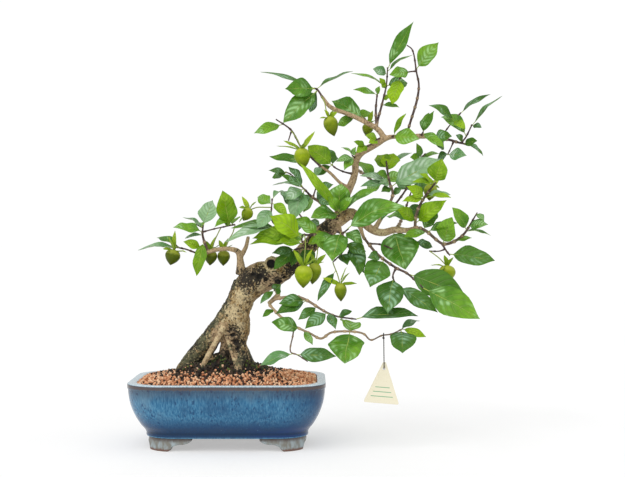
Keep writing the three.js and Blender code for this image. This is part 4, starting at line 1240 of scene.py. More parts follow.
def unit_grain(name: str, roughness: float) -> Piece:
    """Makes one uneven grain with a radius of about 1, from a divided cube.

    Args:
        name: the shape's name.
        roughness: how far its corners move in and out.

    Returns:
        An object outside the scene.
    """
    corners: dict[tuple, int] = {}
    faces = []
    for axis in range(3):
        for side in (-1, 1):
            for a, b in ((-1, -1), (-1, 0), (0, -1), (0, 0)):
                quad = []
                for da, db in ((0, 0), (1, 0), (1, 1), (0, 1)):
                    point = [0, 0, 0]
                    point[axis] = side
                    point[(axis + 1) % 3] = a + da
                    point[(axis + 2) % 3] = b + db
                    quad.append(corners.setdefault(tuple(point), len(corners)))
                faces.append(tuple(quad if side > 0 else reversed(quad)))
    points = []
    for index, point in enumerate(corners):
        reach = 1 + roughness * (2 * scatter(index + 40 * roughness) - 1)
        points.append(unit(np.array(point, float)) * reach * (1.12, 0.92, 0.78))
    mesh = bpy.data.meshes.new(name)
    mesh.from_pydata(np.array(points).tolist(), [], faces)
    mesh.shade_smooth()
    return bpy.data.objects.new(name, mesh)


# Sub-assemblies


@dataclass
class Studio:
    """The camera, the lights and the pale floor."""

    lens: float = 69.12
    sensor: float = 36.0
    sight: float = 200.0
    floor_size: float = 60.0

    def build_camera(self) -> None:
        """Stands the camera at the viewpoint, level."""
        data = bpy.data.cameras.new("camera")
        data.lens = self.lens
        data.sensor_width = self.sensor
        data.clip_end = self.sight
        camera = link("camera", data)
        camera.location = to_metres(EYE)
        camera.rotation_euler = (math.radians(90), 0.0, 0.0)
        bpy.context.scene.camera = camera

    def build_light(self) -> None:
        """Lights the scene from a white room and two soft suns."""
        scene = bpy.context.scene
        scene.view_settings.view_transform = "Standard"
        world = bpy.data.worlds.new("room")
        scene.world = world
        world.use_nodes = True
        world.node_tree.nodes.clear()
        net = Wiring(world.node_tree)
        strength = net.line(net.add("ShaderNodeLightPath").outputs["Is Camera Ray"], 0.32, 0.7)
        room = net.add("ShaderNodeBackground", {"Color": WHITE, "Strength": strength})
        net.add("ShaderNodeOutputWorld", {"Surface": room})
        for name, toward, width, power in (
            ("key_sun", (-0.5, -0.9, 1.0), 55.0, 1.35),
            ("fill_sun", (0.8, -0.4, 0.7), 80.0, 0.3),
        ):
            data = bpy.data.lights.new(name, "SUN")
            data.angle = math.radians(width)
            data.energy = power
            lamp = link(name, data)
            lamp.rotation_euler = (-Vector(toward)).to_track_quat("-Z", "Y").to_euler()

    def build_floor(self, effects: Effects) -> None:
        """Lays the floor.

        Args:
            effects: the shared shader groups.
        """
        finish = PlainFinish("floor", 0xC8C8C8, 0xC4C4C4, 3.0, 0.9, 0.42)
        half = self.floor_size / 2
        mesh = bpy.data.meshes.new("floor")
        corners = [(x * half, y * half, 0.0) for x, y in ((-1, -1), (1, -1), (1, 1), (-1, 1))]
        mesh.from_pydata(corners, [], [(0, 1, 2, 3)])
        mesh.materials.append(finish.material(effects))
        link("floor", mesh)


@dataclass
class TagOnCord:
    """A three-cornered card that hangs from a twig on a thin string."""

    depth: float = -58.0
    twig: tuple[float, float] = (208.5, 145.2)
    hole: tuple[float, float] = (209.0, 100.0)
    hole_radius: float = 1.7
    half_base: float = 22.5
    drop: float = 45.0
    corner: float = 2.5
    thickness: float = 1.3
    bevel: float = 0.25
    tilt: float = -4.7
    cord_radius: float = 0.7
    knot_size: float = 0.75

    def route(self) -> np.ndarray:
        """Gives the string's middle, from behind the twig to behind the card's hole.

        Returns:
            One row a point.
        """
        top = seen((*self.twig, self.depth))
        drop = top[2] - seen((*self.hole, self.depth))[2]
        steps = (
            (0, 2.6, -3.6), (0, 2.8, -1.6), (0, 2.6, 0.6), (0, 1.6, 2.2), (0, 0, 2.8), (0, -1.6, 2.3),
            (0, -2.5, 0.8), (0, -2.6, -2), (0.1, -2.5, -9), (0.2, -2.4, -17), (0.3, -2.4, -25),
            (0.4, -2.3, -33), (0.5, -2.3, 5.5 - drop), (0.5, -2, 1.1 - drop), (0.5, 0, -0.5 - drop),
            (0.5, 2, 1.1 - drop), (0.5, 2.3, 4.5 - drop),
        )
        return smooth_curve(np.array(steps, float) + top, 0.7)

    def outline(self) -> list[tuple[float, float]]:
        """Gives the card's outline round its hole, its corners rounded.

        Returns:
            The flat points.
        """
        half, low, corner = self.half_base, -self.drop, self.corner
        return bent_corners((
            ((-2.2, 8.2), (0.0, 9.6), (2.2, 8.2)),
            ((half, low + corner), (half + 0.6, low), (half - corner, low)),
            ((-half + corner, low), (-half - 0.6, low), (-half, low + corner)),
        ), 7)

    def build_card(self, material: Material) -> Piece:
        """Builds the card with its rounded edge and its hole.

        Args:
            material: the card's finish.

        Returns:
            The finished piece.
        """
        curve = bpy.data.curves.new("card_outline", "CURVE")
        curve.dimensions = "2D"
        curve.fill_mode = "BOTH"
        curve.bevel_depth = self.bevel
        curve.bevel_resolution = 3
        curve.extrude = self.thickness / 2 - self.bevel
        curve.offset = -self.bevel
        hole = [(self.hole_radius * math.cos(a), self.hole_radius * math.sin(a)) for a in circle(24)]
        for points in (self.outline(), hole):
            spline = curve.splines.new("POLY")
            spline.points.add(len(points) - 1)
            for point, (x, y) in zip(spline.points, points):
                point.co = (x, y, 0.0, 1.0)
            spline.use_cyclic_u = True
        card = baked(link("card_outline", curve), "tag_card")
        mesh = card.data
        flat = read(mesh, "co")
        write_map(mesh, flat[:, :2])
        turn = math.radians(-self.tilt)
        x = flat[:, 0] * math.cos(turn) + flat[:, 1] * math.sin(turn)
        z = -flat[:, 0] * math.sin(turn) + flat[:, 1] * math.cos(turn)
        placed = np.column_stack((x, -flat[:, 2], z)) + seen((*self.hole, self.depth))
        mesh.vertices.foreach_set("co", to_metres(placed).ravel())
        mesh.materials.clear()
        mesh.materials.append(material)
        mesh.shade_smooth()
        mesh.set_sharp_from_angle(angle=math.radians(40))
        return card

    def build_knot(self, name: str, place: np.ndarray, material: Material) -> Piece:
        """Builds a small overhand knot round one point of the string.

        Args:
            name: the knot's name.
            place: the point.
            material: the string's finish.

        Returns:
            The finished piece.
        """
        size = self.knot_size
        rows = []
        for angle in np.linspace(0, math.tau, 60):
            x = size * (math.sin(angle) + 2 * math.sin(2 * angle)) * 0.55
            y = size * (math.cos(angle) - 2 * math.cos(2 * angle)) * 0.4
            z = -size * math.sin(3 * angle) * 0.8
            rows.append((*(place + (x, y, z)), self.cord_radius * 0.8))
        surface = Surface()
        surface.tube(np.array(rows), 8)
        return surface.build(name, material)

    def build(self, card: Material, string: Material) -> None:
        """Args:
            card: the card's finish.
            string: the string's finish.
        """
        route = self.route()
        surface = Surface()
        surface.tube(np.column_stack((route, np.full(len(route), self.cord_radius))), 12, twist=1.9, plies=2)
        cord = surface.build("tag_string", string)
        tag = self.build_card(card)
        knots = [
            self.build_knot("tag_knot_top", route[0], string),
            self.build_knot("tag_knot_back", route[-1], string),
        ]
        for knot in knots:
            declare(knot, "cord")
        declare(tag, "tag", "tag")
        declare(cord, "cord", "tag_cord")


@dataclass
class Pot:
    """The glazed pot, its four cloud feet and the screens over its drain holes."""

    foot_depth: float = 13.0
    foot_arm: float = 60.0
    side_arm: float = 0.72
    screen_size: float = 28.0
    screen_lift: float = 0.9
    screen_lines: int = 13

    @staticmethod
    def profile() -> list[tuple[float, float]]:
        """Gives half length and height from the base, up the outside and down the inside.

        Returns:
            The flat points.
        """
        base = [(103, 17), (105.6, 17.1), (106.6, 17.8), (106.9, 19), (106.8, 21)]
        bowl = [
            (106.9, 22.6), (108.2, 25.4), (110, 28), (112.8, 31.4), (120.3, 44.5), (126.1, 60),
            (128.5, 73), (129.1, 80.3),
        ]
        lip = [
            (129.7, 80.9), (130, 82), (130, 86.2), (129.6, 87.4), (128.6, 88), (126, 88.3), (120.6, 88.2),
            (118.9, 87.6), (118.1, 86.4), (118, 84.5),
        ]
        inside = [(119.6, 75), (117, 62), (111.3, 44.5), (105, 34), (98, 26)]
        return base + [tuple(row) for row in outline_curve(bowl, 2.5)] + lip + inside

    @staticmethod
    def foot_height(distance: float) -> float:
        """Gives how far a foot's lower edge is off the floor.

        Args:
            distance: how far from the pot's corner, along its side.

        Returns:
            The height, 0 where the foot stands.
        """
        bends = (((27, -1), (31, 1), (33, 5)), ((33, 5), (38, 9), (47, 9)), ((47, 9), (55, 9.5), (60, 14)))
        across, up = zip((0.0, -1.0), *bent_corners(bends, 8))
        return max(0.0, float(np.interp(distance, across, up)))

    def foot_path(self) -> list[Stop]:
        """Follows the outside of the front right foot.

        Returns:
            Rows of x, y and the outward direction.
        """
        width = FOOT_HALF - WIDTH_LOSS
        radius = FOOT_HALF * CORNER_SHARE
        path = [(x, -width, 0.0, -1.0) for x in np.arange(FOOT_HALF - self.foot_arm, FOOT_HALF - radius, 1.0)]
        for angle in np.radians(np.linspace(-90, 0, 46)):
            x = FOOT_HALF - radius + radius * math.cos(angle)
            y = -width + radius + radius * math.sin(angle)
            path.append((x, y, math.cos(angle), math.sin(angle)))
        end = -width + self.foot_arm * self.side_arm
        path += [(FOOT_HALF, y, 1.0, 0.0) for y in np.arange(-width + radius + 1, end, 1.0)]
        return path

    def foot_rings(self) -> list[np.ndarray]:
        """Gives the cross-sections of the front right foot along its path.

        Returns:
            One ring a section.
        """
        width = FOOT_HALF - WIDTH_LOSS
        top = FOOT_HEIGHT + 1.0
        back = self.foot_depth
        rings = []
        for x, y, out_x, out_y in self.foot_path():
            heights = []
            if y <= -width + back:
                heights.append(self.foot_height(FOOT_HALF - x))
            if x >= FOOT_HALF - back:
                heights.append(self.foot_height((y + width) / self.side_arm))
            low = min(heights)
            section = (
                (0.0, top), (0.7, 14.5), (0.5, max(low + 3, 9)), (-0.3, max(low + 1.6, 4)),
                (-0.2, low + 0.8), (0.8, low), (back - 1, low), (back, low + 1), (back, top),
            )
            rings.append(np.array([(x - d * out_x, y - d * out_y, z) for d, z in section]))
        return rings

    def build_body(self, material: Material) -> None:
        """Builds the fired pot with its feet and drain holes.

        Args:
            material: the glaze.
        """
        surface = Surface()
        surface.loft([pot_outline(half, z) for half, z in self.profile()])
        for side_x, side_y in ((1, 1), (-1, 1), (1, -1), (-1, -1)):
            rings = [ring * (side_x, side_y, 1) for ring in self.foot_rings()]
            surface.loft(rings, flip=side_x * side_y > 0)
        carrier = surface.build("pot_carrier", material)
        cutter = Surface()
        round_hole = [(DRAIN_RADIUS * math.cos(a), DRAIN_RADIUS * math.sin(a), 0.0) for a in circle(40)]
        for side in (-1, 1):
            cutter.loft([np.array(round_hole) + (side * DRAIN_OFFSET, 0, z) for z in (10.0, 32.0)])
        drill = cutter.build("drain_drill", material)
        modifier = carrier.modifiers.new("Drains", "BOOLEAN")
        modifier.operation = "DIFFERENCE"
        modifier.object = drill
        modifier.solver = "EXACT"
        modifier.use_self = True
        pot = baked(carrier, "pot_glazed")
        bpy.data.objects.remove(drill)
        pot.data.set_sharp_from_angle(angle=math.radians(42))
        declare(pot, "glaze", "pot")

    def build_screens(self, shapes: Shapes, material: Material) -> None:
        """Builds the plastic net over each drain hole.

        Args:
            shapes: the geometry trees.
            material: the plastic.
        """
        last = self.screen_lines - 1
        half = self.screen_size / 2 - 0.5
        for side, name in ((-1, "left"), (1, "right")):
            surface = Surface()
            for row in range(self.screen_lines):
                for ends in (((row, 0), (row, last)), ((0, row), (last, row))):
                    for column, line in ends:
                        x = side * DRAIN_OFFSET + half * (2 * column / last - 1)
                        y = half * (2 * line / last - 1)
                        surface.points.append((x, y, FLOOR_TOP + self.screen_lift))
                    surface.edges.append((len(surface.points) - 2, len(surface.points) - 1))
            carrier = surface.build(f"screen_lines_{name}")
            screen = run_tree(carrier, shapes.screen, {"Finish": material}, f"drain_net_{name}")
            declare(screen, "screen", f"drain_screen_{name}")


@dataclass
class Soil:
    """Fired clay grains mounded to the trunk, with dark crumbs and moss at its foot."""

    rings: int = 30
    foot: tuple[float, float] = (-11.0, 1.0)
    foot_reach: tuple[float, float] = (72.0, 42.0)
    heap: float = 15.0
    lump: float = 11.0
    lump_height: float = 6.0
    sink: float = 1.8

    def nearness(self, x: float, y: float) -> float:
        """Gives 1 at the tree's foot, falling to 0 away from it.

        Args:
            x: the place across.
            y: the place along the view.

        Returns:
            The nearness.
        """
        across = (x - self.foot[0]) / self.foot_reach[0]
        along = (y - self.foot[1]) / self.foot_reach[1]
        return math.exp(-((across**2 + along**2) ** 1.6))

    def top(self, x: float, y: float) -> Place:
        """Gives the bed's point over a place of the floor.

        Args:
            x: the place across.
            y: the place along the view.

        Returns:
            The point.
        """
        near = self.nearness(x, y)
        lumps = noise.noise(Vector((x / self.lump, y / self.lump, 0.4)))
        return x, y, soil_height(x, y) - self.sink + near * (self.heap * near + self.lump_height * lumps)

    def bed(self) -> Surface:
        """Builds the bed, from its edge to its middle.

        Returns:
            The open surface.
        """
        outline = pot_outline(LIP_HALF - SOIL_GAP, 0.0)
        count = len(outline)
        bed = Surface()
        for ring in range(self.rings):
            share = 1 - ring / self.rings
            bed.points += [self.top(x * share, y * share) for x, y, _ in outline]
        bed.points.append(self.top(0.0, 0.0))
        last = len(bed.points) - 1
        for ring in range(self.rings):
            for column in range(count):
                a = ring * count + column
                b = ring * count + (column + 1) % count
                bed.faces.append((a, b, b + count, a + count) if b + count < last else (a, b, last))
        return bed

    def build_mound(self, material: Material) -> None:
        """Builds the packed soil under the grains, down to the pot's floor; its dark colour is painted shade
        in the gaps between the grains.

        Args:
            material: the packed soil's finish.
        """
        surface = self.bed()
        count = len(pot_outline(1.0, 0.0))
        upper = 0
        for half, z in ((119.6, 75.0), (111.3, 44.5), (98.0, FLOOR_TOP + 2.4)):
            lower = len(surface.points)
            surface.points.extend(pot_outline(half - SOIL_GAP, z))
            for column in range(count):
                right = (column + 1) % count
                surface.faces.append((upper + column, lower + column, lower + right, upper + right))
            upper = lower
        surface.faces.append(tuple(upper + column for column in reversed(range(count))))
        surface.values["tint"] = [0.25] * len(surface.points)
        declare(surface.build("soil_mound", material), "soil", "soil")

    def strew(self, name: str, tree: NodeTree, cover: tuple[float, float], settings: dict) -> None:
        """Strews one kind of bit over the bed.

        Args:
            name: the piece's name.
            tree: the tree that strews.
            cover: the share of the bed that is covered far from the tree, and how much more at its foot.
            settings: the tree's inputs.
        """
        bed = self.bed()
        far, more = cover
        near = [self.nearness(x, y) for x, y, _ in bed.points]
        bed.values["cover"] = [max(0.0, min(1.0, more * n + far)) for n in near]
        declare(run_tree(bed.build(f"{name}_bed"), tree, settings, name), "soil", "soil")

    def build(self, shapes: Shapes, finishes: dict) -> None:
        """Builds the mound and everything loose on it.

        Args:
            shapes: the geometry trees.
            finishes: the materials by name.
        """
        self.build_mound(finishes["packed"])
        self.strew("clay_grains", shapes.bits, (1.0, -1.1), {
            "Bit": shapes.grain, "Spacing": 3.1 * MM, "Radius": 1.95 * MM, "Smallest": 0.75, "Largest": 1.2,
            "Lift": 1.1 * MM, "Seed": 5, "Finish": finishes["clay"],
        })
        self.strew("dark_crumbs", shapes.bits, (0.015, 2.2), {
            "Bit": shapes.crumb, "Spacing": 2.2 * MM, "Radius": 2.5 * MM, "Smallest": 0.5, "Largest": 1.3,
            "Lift": 1.2 * MM, "Seed": 9, "Finish": finishes["crumb"],
        })
        self.strew("moss_tufts", shapes.bits, (-0.45, 1.6), {
            "Bit": shapes.crumb, "Spacing": 3.4 * MM, "Radius": 1.9 * MM, "Smallest": 0.5, "Largest": 1.4,
            "Lift": 2.2 * MM, "Seed": 21, "Finish": finishes["moss"],
        })


# Routes of (x, z, depth, radius), the same as the part's, the trunk and the roots first.
TRUNK = [
  [
    (20, 66, 4, 15), (19, 98, 4, 17), (14, 118, 4, 15), (9, 132, 4, 14.5), (10, 146, 3, 15.5),
    (12, 160, 2, 15.5), (11, 176, 0, 18), (14, 191, 0, 17.5), (22, 206, 0, 18.5),
    (34, 219, 0, 21), (47, 225, 0, 21), (61, 230, 0, 19), (77, 239, 0, 15.5), (92, 248, 2, 12.5),
    (106, 263, 4, 11), (120, 279, 4, 10.5), (135, 292, 2, 10), (150, 302, 0, 9),
    (164, 309, -3, 7.8), (180, 299, -8, 6.2), (194, 287, -12, 5.2), (208, 284, -15, 5),
    (224, 288, -18, 4.4), (240, 287, -22, 3.6), (256, 291, -26, 2.8),
  ],
  [
    (4, 182, 0, 13), (-10, 160, 2, 13), (-24, 143, 3, 12.5), (-40, 125, 4, 11.5),
    (-55, 108, 5, 10), (-67, 94, 6, 7.5), (-76, 76, 6, 3),
  ],
]
ROOTS = [
  [(-7, 158, -11, 4.2), (-19, 135, -17, 3.7), (-29, 117, -21, 3.6), (-37, 99, -24, 3.6), (-41, 80, -27, 2.5)],
  [(-6, 150, -8, 3), (-1, 135, -12, 2.6), (4, 120, -16, 2.4), (10, 98, -20, 2.4), (12, 80, -22, 2)],
  [(12, 142, 4, 8), (18, 126, 4, 8), (27, 108, 0, 7), (40, 97, -4, 5.5), (54, 80, -8, 3)],
  [(14, 130, -2, 9), (14, 112, -14, 8), (12, 97, -26, 6), (10, 78, -36, 3)],
  [(14, 136, 8, 10), (12, 112, 22, 8), (8, 95, 36, 6), (4, 76, 48, 3)],
  [(-20, 140, 8, 9), (-32, 116, 24, 7), (-44, 95, 40, 5), (-52, 76, 52, 3)],
  [(6, 118, 8, 10), (-10, 111, 8, 10), (-26, 102, 6, 9), (-40, 92, 0, 6)],
]
BRANCHES = [
  # upper trunk, the short branch to its right with a burr at its end, the upper left branch
  [
    (144, 299, 4, 8), (152, 318, 8, 6.5), (158, 335, 10, 5.8), (165, 350, 10, 5.3),
    (170, 365, 9, 4.6), (171, 380, 8, 4.8), (177, 391, 7, 5.2), (192, 400, 4, 4.8),
    (206, 409, 2, 4.6), (212, 415, 2, 3.6),
  ],
  [(206, 409, 2, 4.2), (218, 413, 2, 3.2), (244, 413, 8, 2.4), (254, 414, 10, 3.8), (267, 414, 10, 3.2)],
  [
    (210, 411, 2, 4.2), (200, 424, 2, 3.8), (186, 432, 1, 3.4), (170, 440, 0, 3.3),
    (155, 446, -2, 3), (143, 450, -3, 3.2), (134, 456, -4, 2.8), (126, 467, -5, 2.1),
  ],
  # left branch and its second stem
  [
    (16, 228, -3, 7.5), (15, 246, -6, 4.8), (12, 258, -7, 4), (0, 262, -10, 3.2),
    (-16, 261, -12, 3), (-30, 257, -14, 2.6), (-38, 253, -15, 2.4),
  ],
  [(14, 250, -6, 4), (22, 263, -4, 3), (26, 279, -2, 2.4)],
  # starts of the twigs that carry the leafy stems
  [(138, 294, -2, 4.5), (146, 289, -16, 2.2), (142, 282, -22, 1.8)],
  [(136, 292, 6, 5.5), (132, 312, 4, 4), (123, 327, 2, 3.2)],
  [(162, 343, 10, 3.6), (150, 351, 10, 2.4), (137, 364, 8, 2.2), (123, 374, 5, 1.8)],
  [(196, 288, -12, 3.8), (206, 305, 0, 2.8), (216, 322, 8, 2.4)],
  [(172, 303, -6, 5), (178, 288, -14, 2.8), (182, 276, -22, 2.2)],
  [(146, 298, -2, 4), (151, 283, -14, 2.4)],
  [(58, 220, -8, 6), (63, 209, -15, 4), (66, 201, -21, 3.4), (60, 194, -26, 3.2), (53, 188, -30, 2.8)],
]
# Low bark folds that fill the hollow between the legs of the trunk.
FOLDS = [
  [(2, 160, 0, 10), (-5, 146, 0, 6), (-7, 132, 0, 5), (-8, 118, 0, 7), (-12, 100, 0, 8)],
  [(-2, 158, 0, 9), (-14, 148, 2, 6.5), (-24, 134, 3, 6)],
  [(-4, 118, -2, 7), (-16, 113, -2, 8.5), (-30, 106, -4, 8), (-40, 94, -4, 6)],
]
# What grows on the bark, as spots of (x, z, depth, reach); the soot spots also lay painted shade in the
# hollows between the trunk's legs and roots.
GROWTHS = {
    "soot": (
        (24, 224, -18, 20), (134, 293, -6, 15), (112, 272, -6, 11), (44, 226, -20, 18), (66, 216, -14, 17),
        (84, 234, -8, 14), (10, 259, -10, 4), (5, 148, -9, 13), (10, 134, -8, 13), (14, 120, -8, 11),
        (40, 222, -20, 13), (0, 214, 0, 13), (6, 232, -4, 12), (-14, 120, 6, 18), (22, 100, -16, 15),
        (-8, 118, 0, 22), (14, 106, -8, 18), (-30, 102, 0, 18), (32, 108, 2, 16), (-2, 200, 4, 12),
        (-8, 186, 6, 13), (-30, 158, 6, 14), (-48, 132, 6, 14),
    ),
    "moss": (
        (-6, 186, -2, 16), (-22, 163, 0, 19), (-38, 140, -2, 22), (-55, 114, -2, 26), (10, 214, 0, 15),
        (-36, 100, -26, 12), (34, 116, 4, 18), (16, 108, -18, 17), (1, 130, -14, 8),
    ),
    "cream": (
        (-8, 153, -16, 12), (-18, 137, -21, 14), (-28, 119, -25, 12), (-1, 135, -15, 7), (6, 112, -19, 6),
        (18, 200, -18, 15), (4, 176, -16, 15), (14, 160, -14, 10), (43, 208, -19, 9), (60, 214, -12, 7),
        (57, 250, -14, 11), (48, 243, -14, 9), (66, 243, -14, 9), (56, 234, -20, 9), (62, 203, -22, 12),
        (54, 190, -30, 10), (206, 284, -20, 13), (232, 288, -24, 13),
    ),
}
# Clefts in the bark, sunk in and darkened with painted shade, as (x, z, depth, radius).
CLEFTS = (
    (2, 153, -10, 3.2), (5, 146, -10, 4.6), (8, 137, -10, 4.6), (11, 127, -10, 3.6), (33, 228, -16, 3.4),
    (41, 225, -18, 4.8), (50, 221, -18, 3.4), (66, 219, -14, 4.6), (74, 224, -14, 3.0),
)


@dataclass
class TreeWood:
    """Trunk, roots and branches, grown together and weathered."""

    voxel: float = 1.02
    young_girth: float = 3.0
    old_girth: float = 13.0
    young_bulge: float = 0.02
    old_bulge: float = 0.11
    bulge_size: float = 17.0
    knob_height: float = 0.05
    knob_size: float = 6.0
    young_crack: float = 0.1
    old_crack: float = 1.6
    crack_level: float = 0.45
    crack_shade: float = 0.55
    crack_size: Place = (4.5, 4.5, 8.0)
    growth_spread: float = 1.25
    knot: Place = (57, 242, -8)
    knot_rings: tuple = ((6.0, 9.6), (1.0, 9.2), (-5.0, 8.4), (-8.0, 7.8), (-9.2, 6.4))
    knot_radius: float = 6.2
    knot_depth: float = 5.0
    knot_front: float = 2.0
    knot_rim: float = 4.0
    knot_edge: float = 0.8
    cleft_depth: float = 4.5
    cleft_shade: float = 0.9
    cleft_edge: float = 1.6
    cleft_lump: float = 3.5
    cleft_swing: float = 0.45

    def skin(self) -> Piece:
        """Joins every limb into one skin.

        Returns:
            The smooth skin.
        """
        surface = Surface()
        for routes, sides in ((TRUNK, 28), (ROOTS, 18), (FOLDS, 18), (BRANCHES, 16)):
            for route in routes:
                surface.tube(route_curve(route, 2.0), sides)
        middle = seen(self.knot)
        surface.loft([
            np.array([middle + (radius * math.cos(a), y, radius * math.sin(a)) for a in circle(24)])
            for y, radius in self.knot_rings
        ])
        carrier = surface.build("wood_carrier")
        remesh = carrier.modifiers.new("Join", "REMESH")
        remesh.mode = "VOXEL"
        remesh.voxel_size = self.voxel * MM
        remesh.use_smooth_shade = True
        soften = carrier.modifiers.new("Soften", "SMOOTH")
        soften.factor = 0.5
        soften.iterations = 4
        return baked(carrier, "tree_bark")

    @staticmethod
    def girths(points: np.ndarray) -> np.ndarray:
        """Gives the radius of the limb that each point belongs to.

        Args:
            points: the skin's points.

        Returns:
            The radii, in millimetres.
        """
        rows = np.vstack([route_curve(route, 3.0) for route in (*TRUNK, *ROOTS, *FOLDS, *BRANCHES)])
        tree = kdtree.KDTree(len(rows))
        for index, row in enumerate(rows):
            tree.insert(row[:3], index)
        tree.balance()
        found = []
        for point in points:
            best = min(tree.find_n(point, 4), key=lambda hit: abs(hit[2] - rows[hit[1]][3]))
            found.append(rows[best[1]][3])
        return np.array(found)

    def from_knot(self, points: np.ndarray) -> tuple[np.ndarray, np.ndarray]:
        """Measures points from the healed cut.

        Args:
            points: the skin's points.

        Returns:
            How far each one is from its middle as seen from the front, and whether it is in front.
        """
        middle = seen(self.knot)
        away = np.hypot(points[:, 0] - middle[0], points[:, 2] - middle[2])
        return away, points[:, 1] <= middle[1] + self.knot_front

    def relief(self, points: np.ndarray, normals: np.ndarray, girths: np.ndarray) -> tuple:
        """Roughens the points by the age of their limb, and sinks those inside the healed cut.

        Args:
            points: the skin's points.
            normals: the directions that it faces there.
            girths: the radius of the limb at each.

        Returns:
            The moved points, and how deep in a crack each one lies.
        """
        moved = points.copy()
        cavity = np.zeros(len(points))
        for index, (point, normal, girth) in enumerate(zip(points, normals, girths)):
            age = (girth - self.young_girth) / (self.old_girth - self.young_girth)
            age = min(1.0, max(0.0, age))
            bulge = noise.fractal(Vector(point / self.bulge_size), 1.0, 2.0, 3)
            crack = noise.turbulence(Vector(point / self.crack_size), 3, True)
            knob = noise.noise(Vector(point / self.knob_size))
            swell = self.young_bulge + (self.old_bulge - self.young_bulge) * age
            split = self.young_crack + (self.old_crack - self.young_crack) * age
            relief = swell * girth * bulge + split * (self.crack_level - crack)
            relief += self.knob_height * girth * (1 - age) * knob
            moved[index] += normal * relief
            # how deep in a crack each point lies, which the bark darkens as painted shade
            cavity[index] = min(1.0, max(0.0, (crack - self.crack_shade) * 2.2 * age))
        away, front = self.from_knot(points)
        share = np.clip(away / self.knot_radius, 0, 1)
        moved[:, 1] += front * self.knot_depth * np.sqrt(1 - share**3)
        return moved, cavity

    def weather(self, skin: Piece) -> None:
        """Roughens the skin, marks what grows on it, and marks where painted shade darkens its cracks, clefts
        and the healed cut's hollow.

        Args:
            skin: the smooth skin.
        """
        mesh = skin.data
        points = read(mesh, "co") / MM - SHIFT
        girths = self.girths(points)
        moved, cavity = self.relief(points, read(mesh, "normal"), girths)
        layers = {layer: np.zeros(len(points)) for layer in GROWTHS}
        for layer, spots in GROWTHS.items():
            for *place, reach in spots:
                away = np.linalg.norm(points - seen(place), axis=1)
                layers[layer] = np.maximum(layers[layer], np.clip(self.growth_spread - away / reach, 0, 1))
        away, front = self.from_knot(points)
        layers["soot"][front & (away < self.knot_radius + self.knot_rim)] = 0.0
        # painted shade inside the healed cut's hollow and, below, in each cleft
        hollow = front * np.clip((self.knot_radius + self.knot_edge / 2 - away) / self.knot_edge, 0, 1)
        lumps = np.array([noise.noise(Vector(point / self.cleft_lump)) for point in points])
        uneven = 1 + self.cleft_swing * lumps
        for *place, radius in CLEFTS:
            offset = points - seen(place)
            away = np.hypot(offset[:, 0], offset[:, 2]) / uneven
            front = np.abs(offset[:, 1]) < 2 * radius
            moved[:, 1] += front * self.cleft_depth * np.clip(1 - (away / radius) ** 2, 0, 1)
            shade = np.clip((radius - away) / self.cleft_edge, 0, self.cleft_shade)
            hollow = np.maximum(hollow, front * shade)
        mesh.vertices.foreach_set("co", to_metres(moved).ravel())
        for key, values in {"girth": girths, "cavity": cavity, **layers, "hollow": hollow}.items():
            write(mesh, key, values)
        mesh.update()

    def build(self, material: Material) -> None:
        """Builds and dresses the wood.

        Args:
            material: the bark.
        """
        skin = self.skin()
        self.weather(skin)
        skin.data.materials.clear()
        skin.data.materials.append(material)
        skin.data.shade_smooth()
        declare(skin, "bark", "tree_wood")


@dataclass(frozen=True)
class Leaf:
    """One leaf: from its base to its tip, its widest part, and how it turns and arches."""

    base: Place
    tip: Place
    width: float
    roll: float
    bend: float
    tone: Optional[Tone] = None


@dataclass
class BladeSet:
    """The blades of one piece, as points that carry each blade's shape."""

    surface: Surface = field(default_factory=Surface)

    def put(self, leaf: Leaf, phase: float, tint: float) -> tuple[np.ndarray, np.ndarray, np.ndarray]:
        """Adds a blade.

        Args:
            leaf: its places and sizes.
            phase: where its wavy edge starts.
            tint: 0 for the finish's older colour to 1 for its young one.

        Returns:
            Its base, its axis and the direction that its upper face looks in.
        """
        start = seen(leaf.base)
        axis = seen(leaf.tip) - start
        along = unit(axis)
        to_eye = unit(EYE - start)
        sky = unit(np.cross(along, to_eye))
        upright = sky[2] if abs(sky[2]) > 0.05 else sky[0]
        sky = sky * math.copysign(1.0, upright)
        front = unit(to_eye - along * to_eye.dot(along))
        turn = math.radians(leaf.roll)
        facing = front * math.cos(turn) + sky * math.sin(turn)
        rows = {
            "start": to_metres(start),
            "axis": axis * MM,
            "across": np.cross(facing, along),
            "facing": facing,
            "half": leaf.width / 2 * MM,
            "bend": leaf.bend * MM,
            "phase": phase,
            "tint": tint,
            "taper": 0.8 + 0.5 * scatter(phase * 7),
        }
        self.surface.points.append(start)
        for key, value in rows.items():
            self.surface.values.setdefault(key, []).append(value)
        return start, axis, facing

    def build(self, name: str, shapes: Shapes, shape: Piece, material: Material) -> Piece:
        """Runs the blade tree on the points."""
        carrier = self.surface.build(f"{name}_points")
        return run_tree(carrier, shapes.blades, {"Blade": shape, "Finish": material}, name)


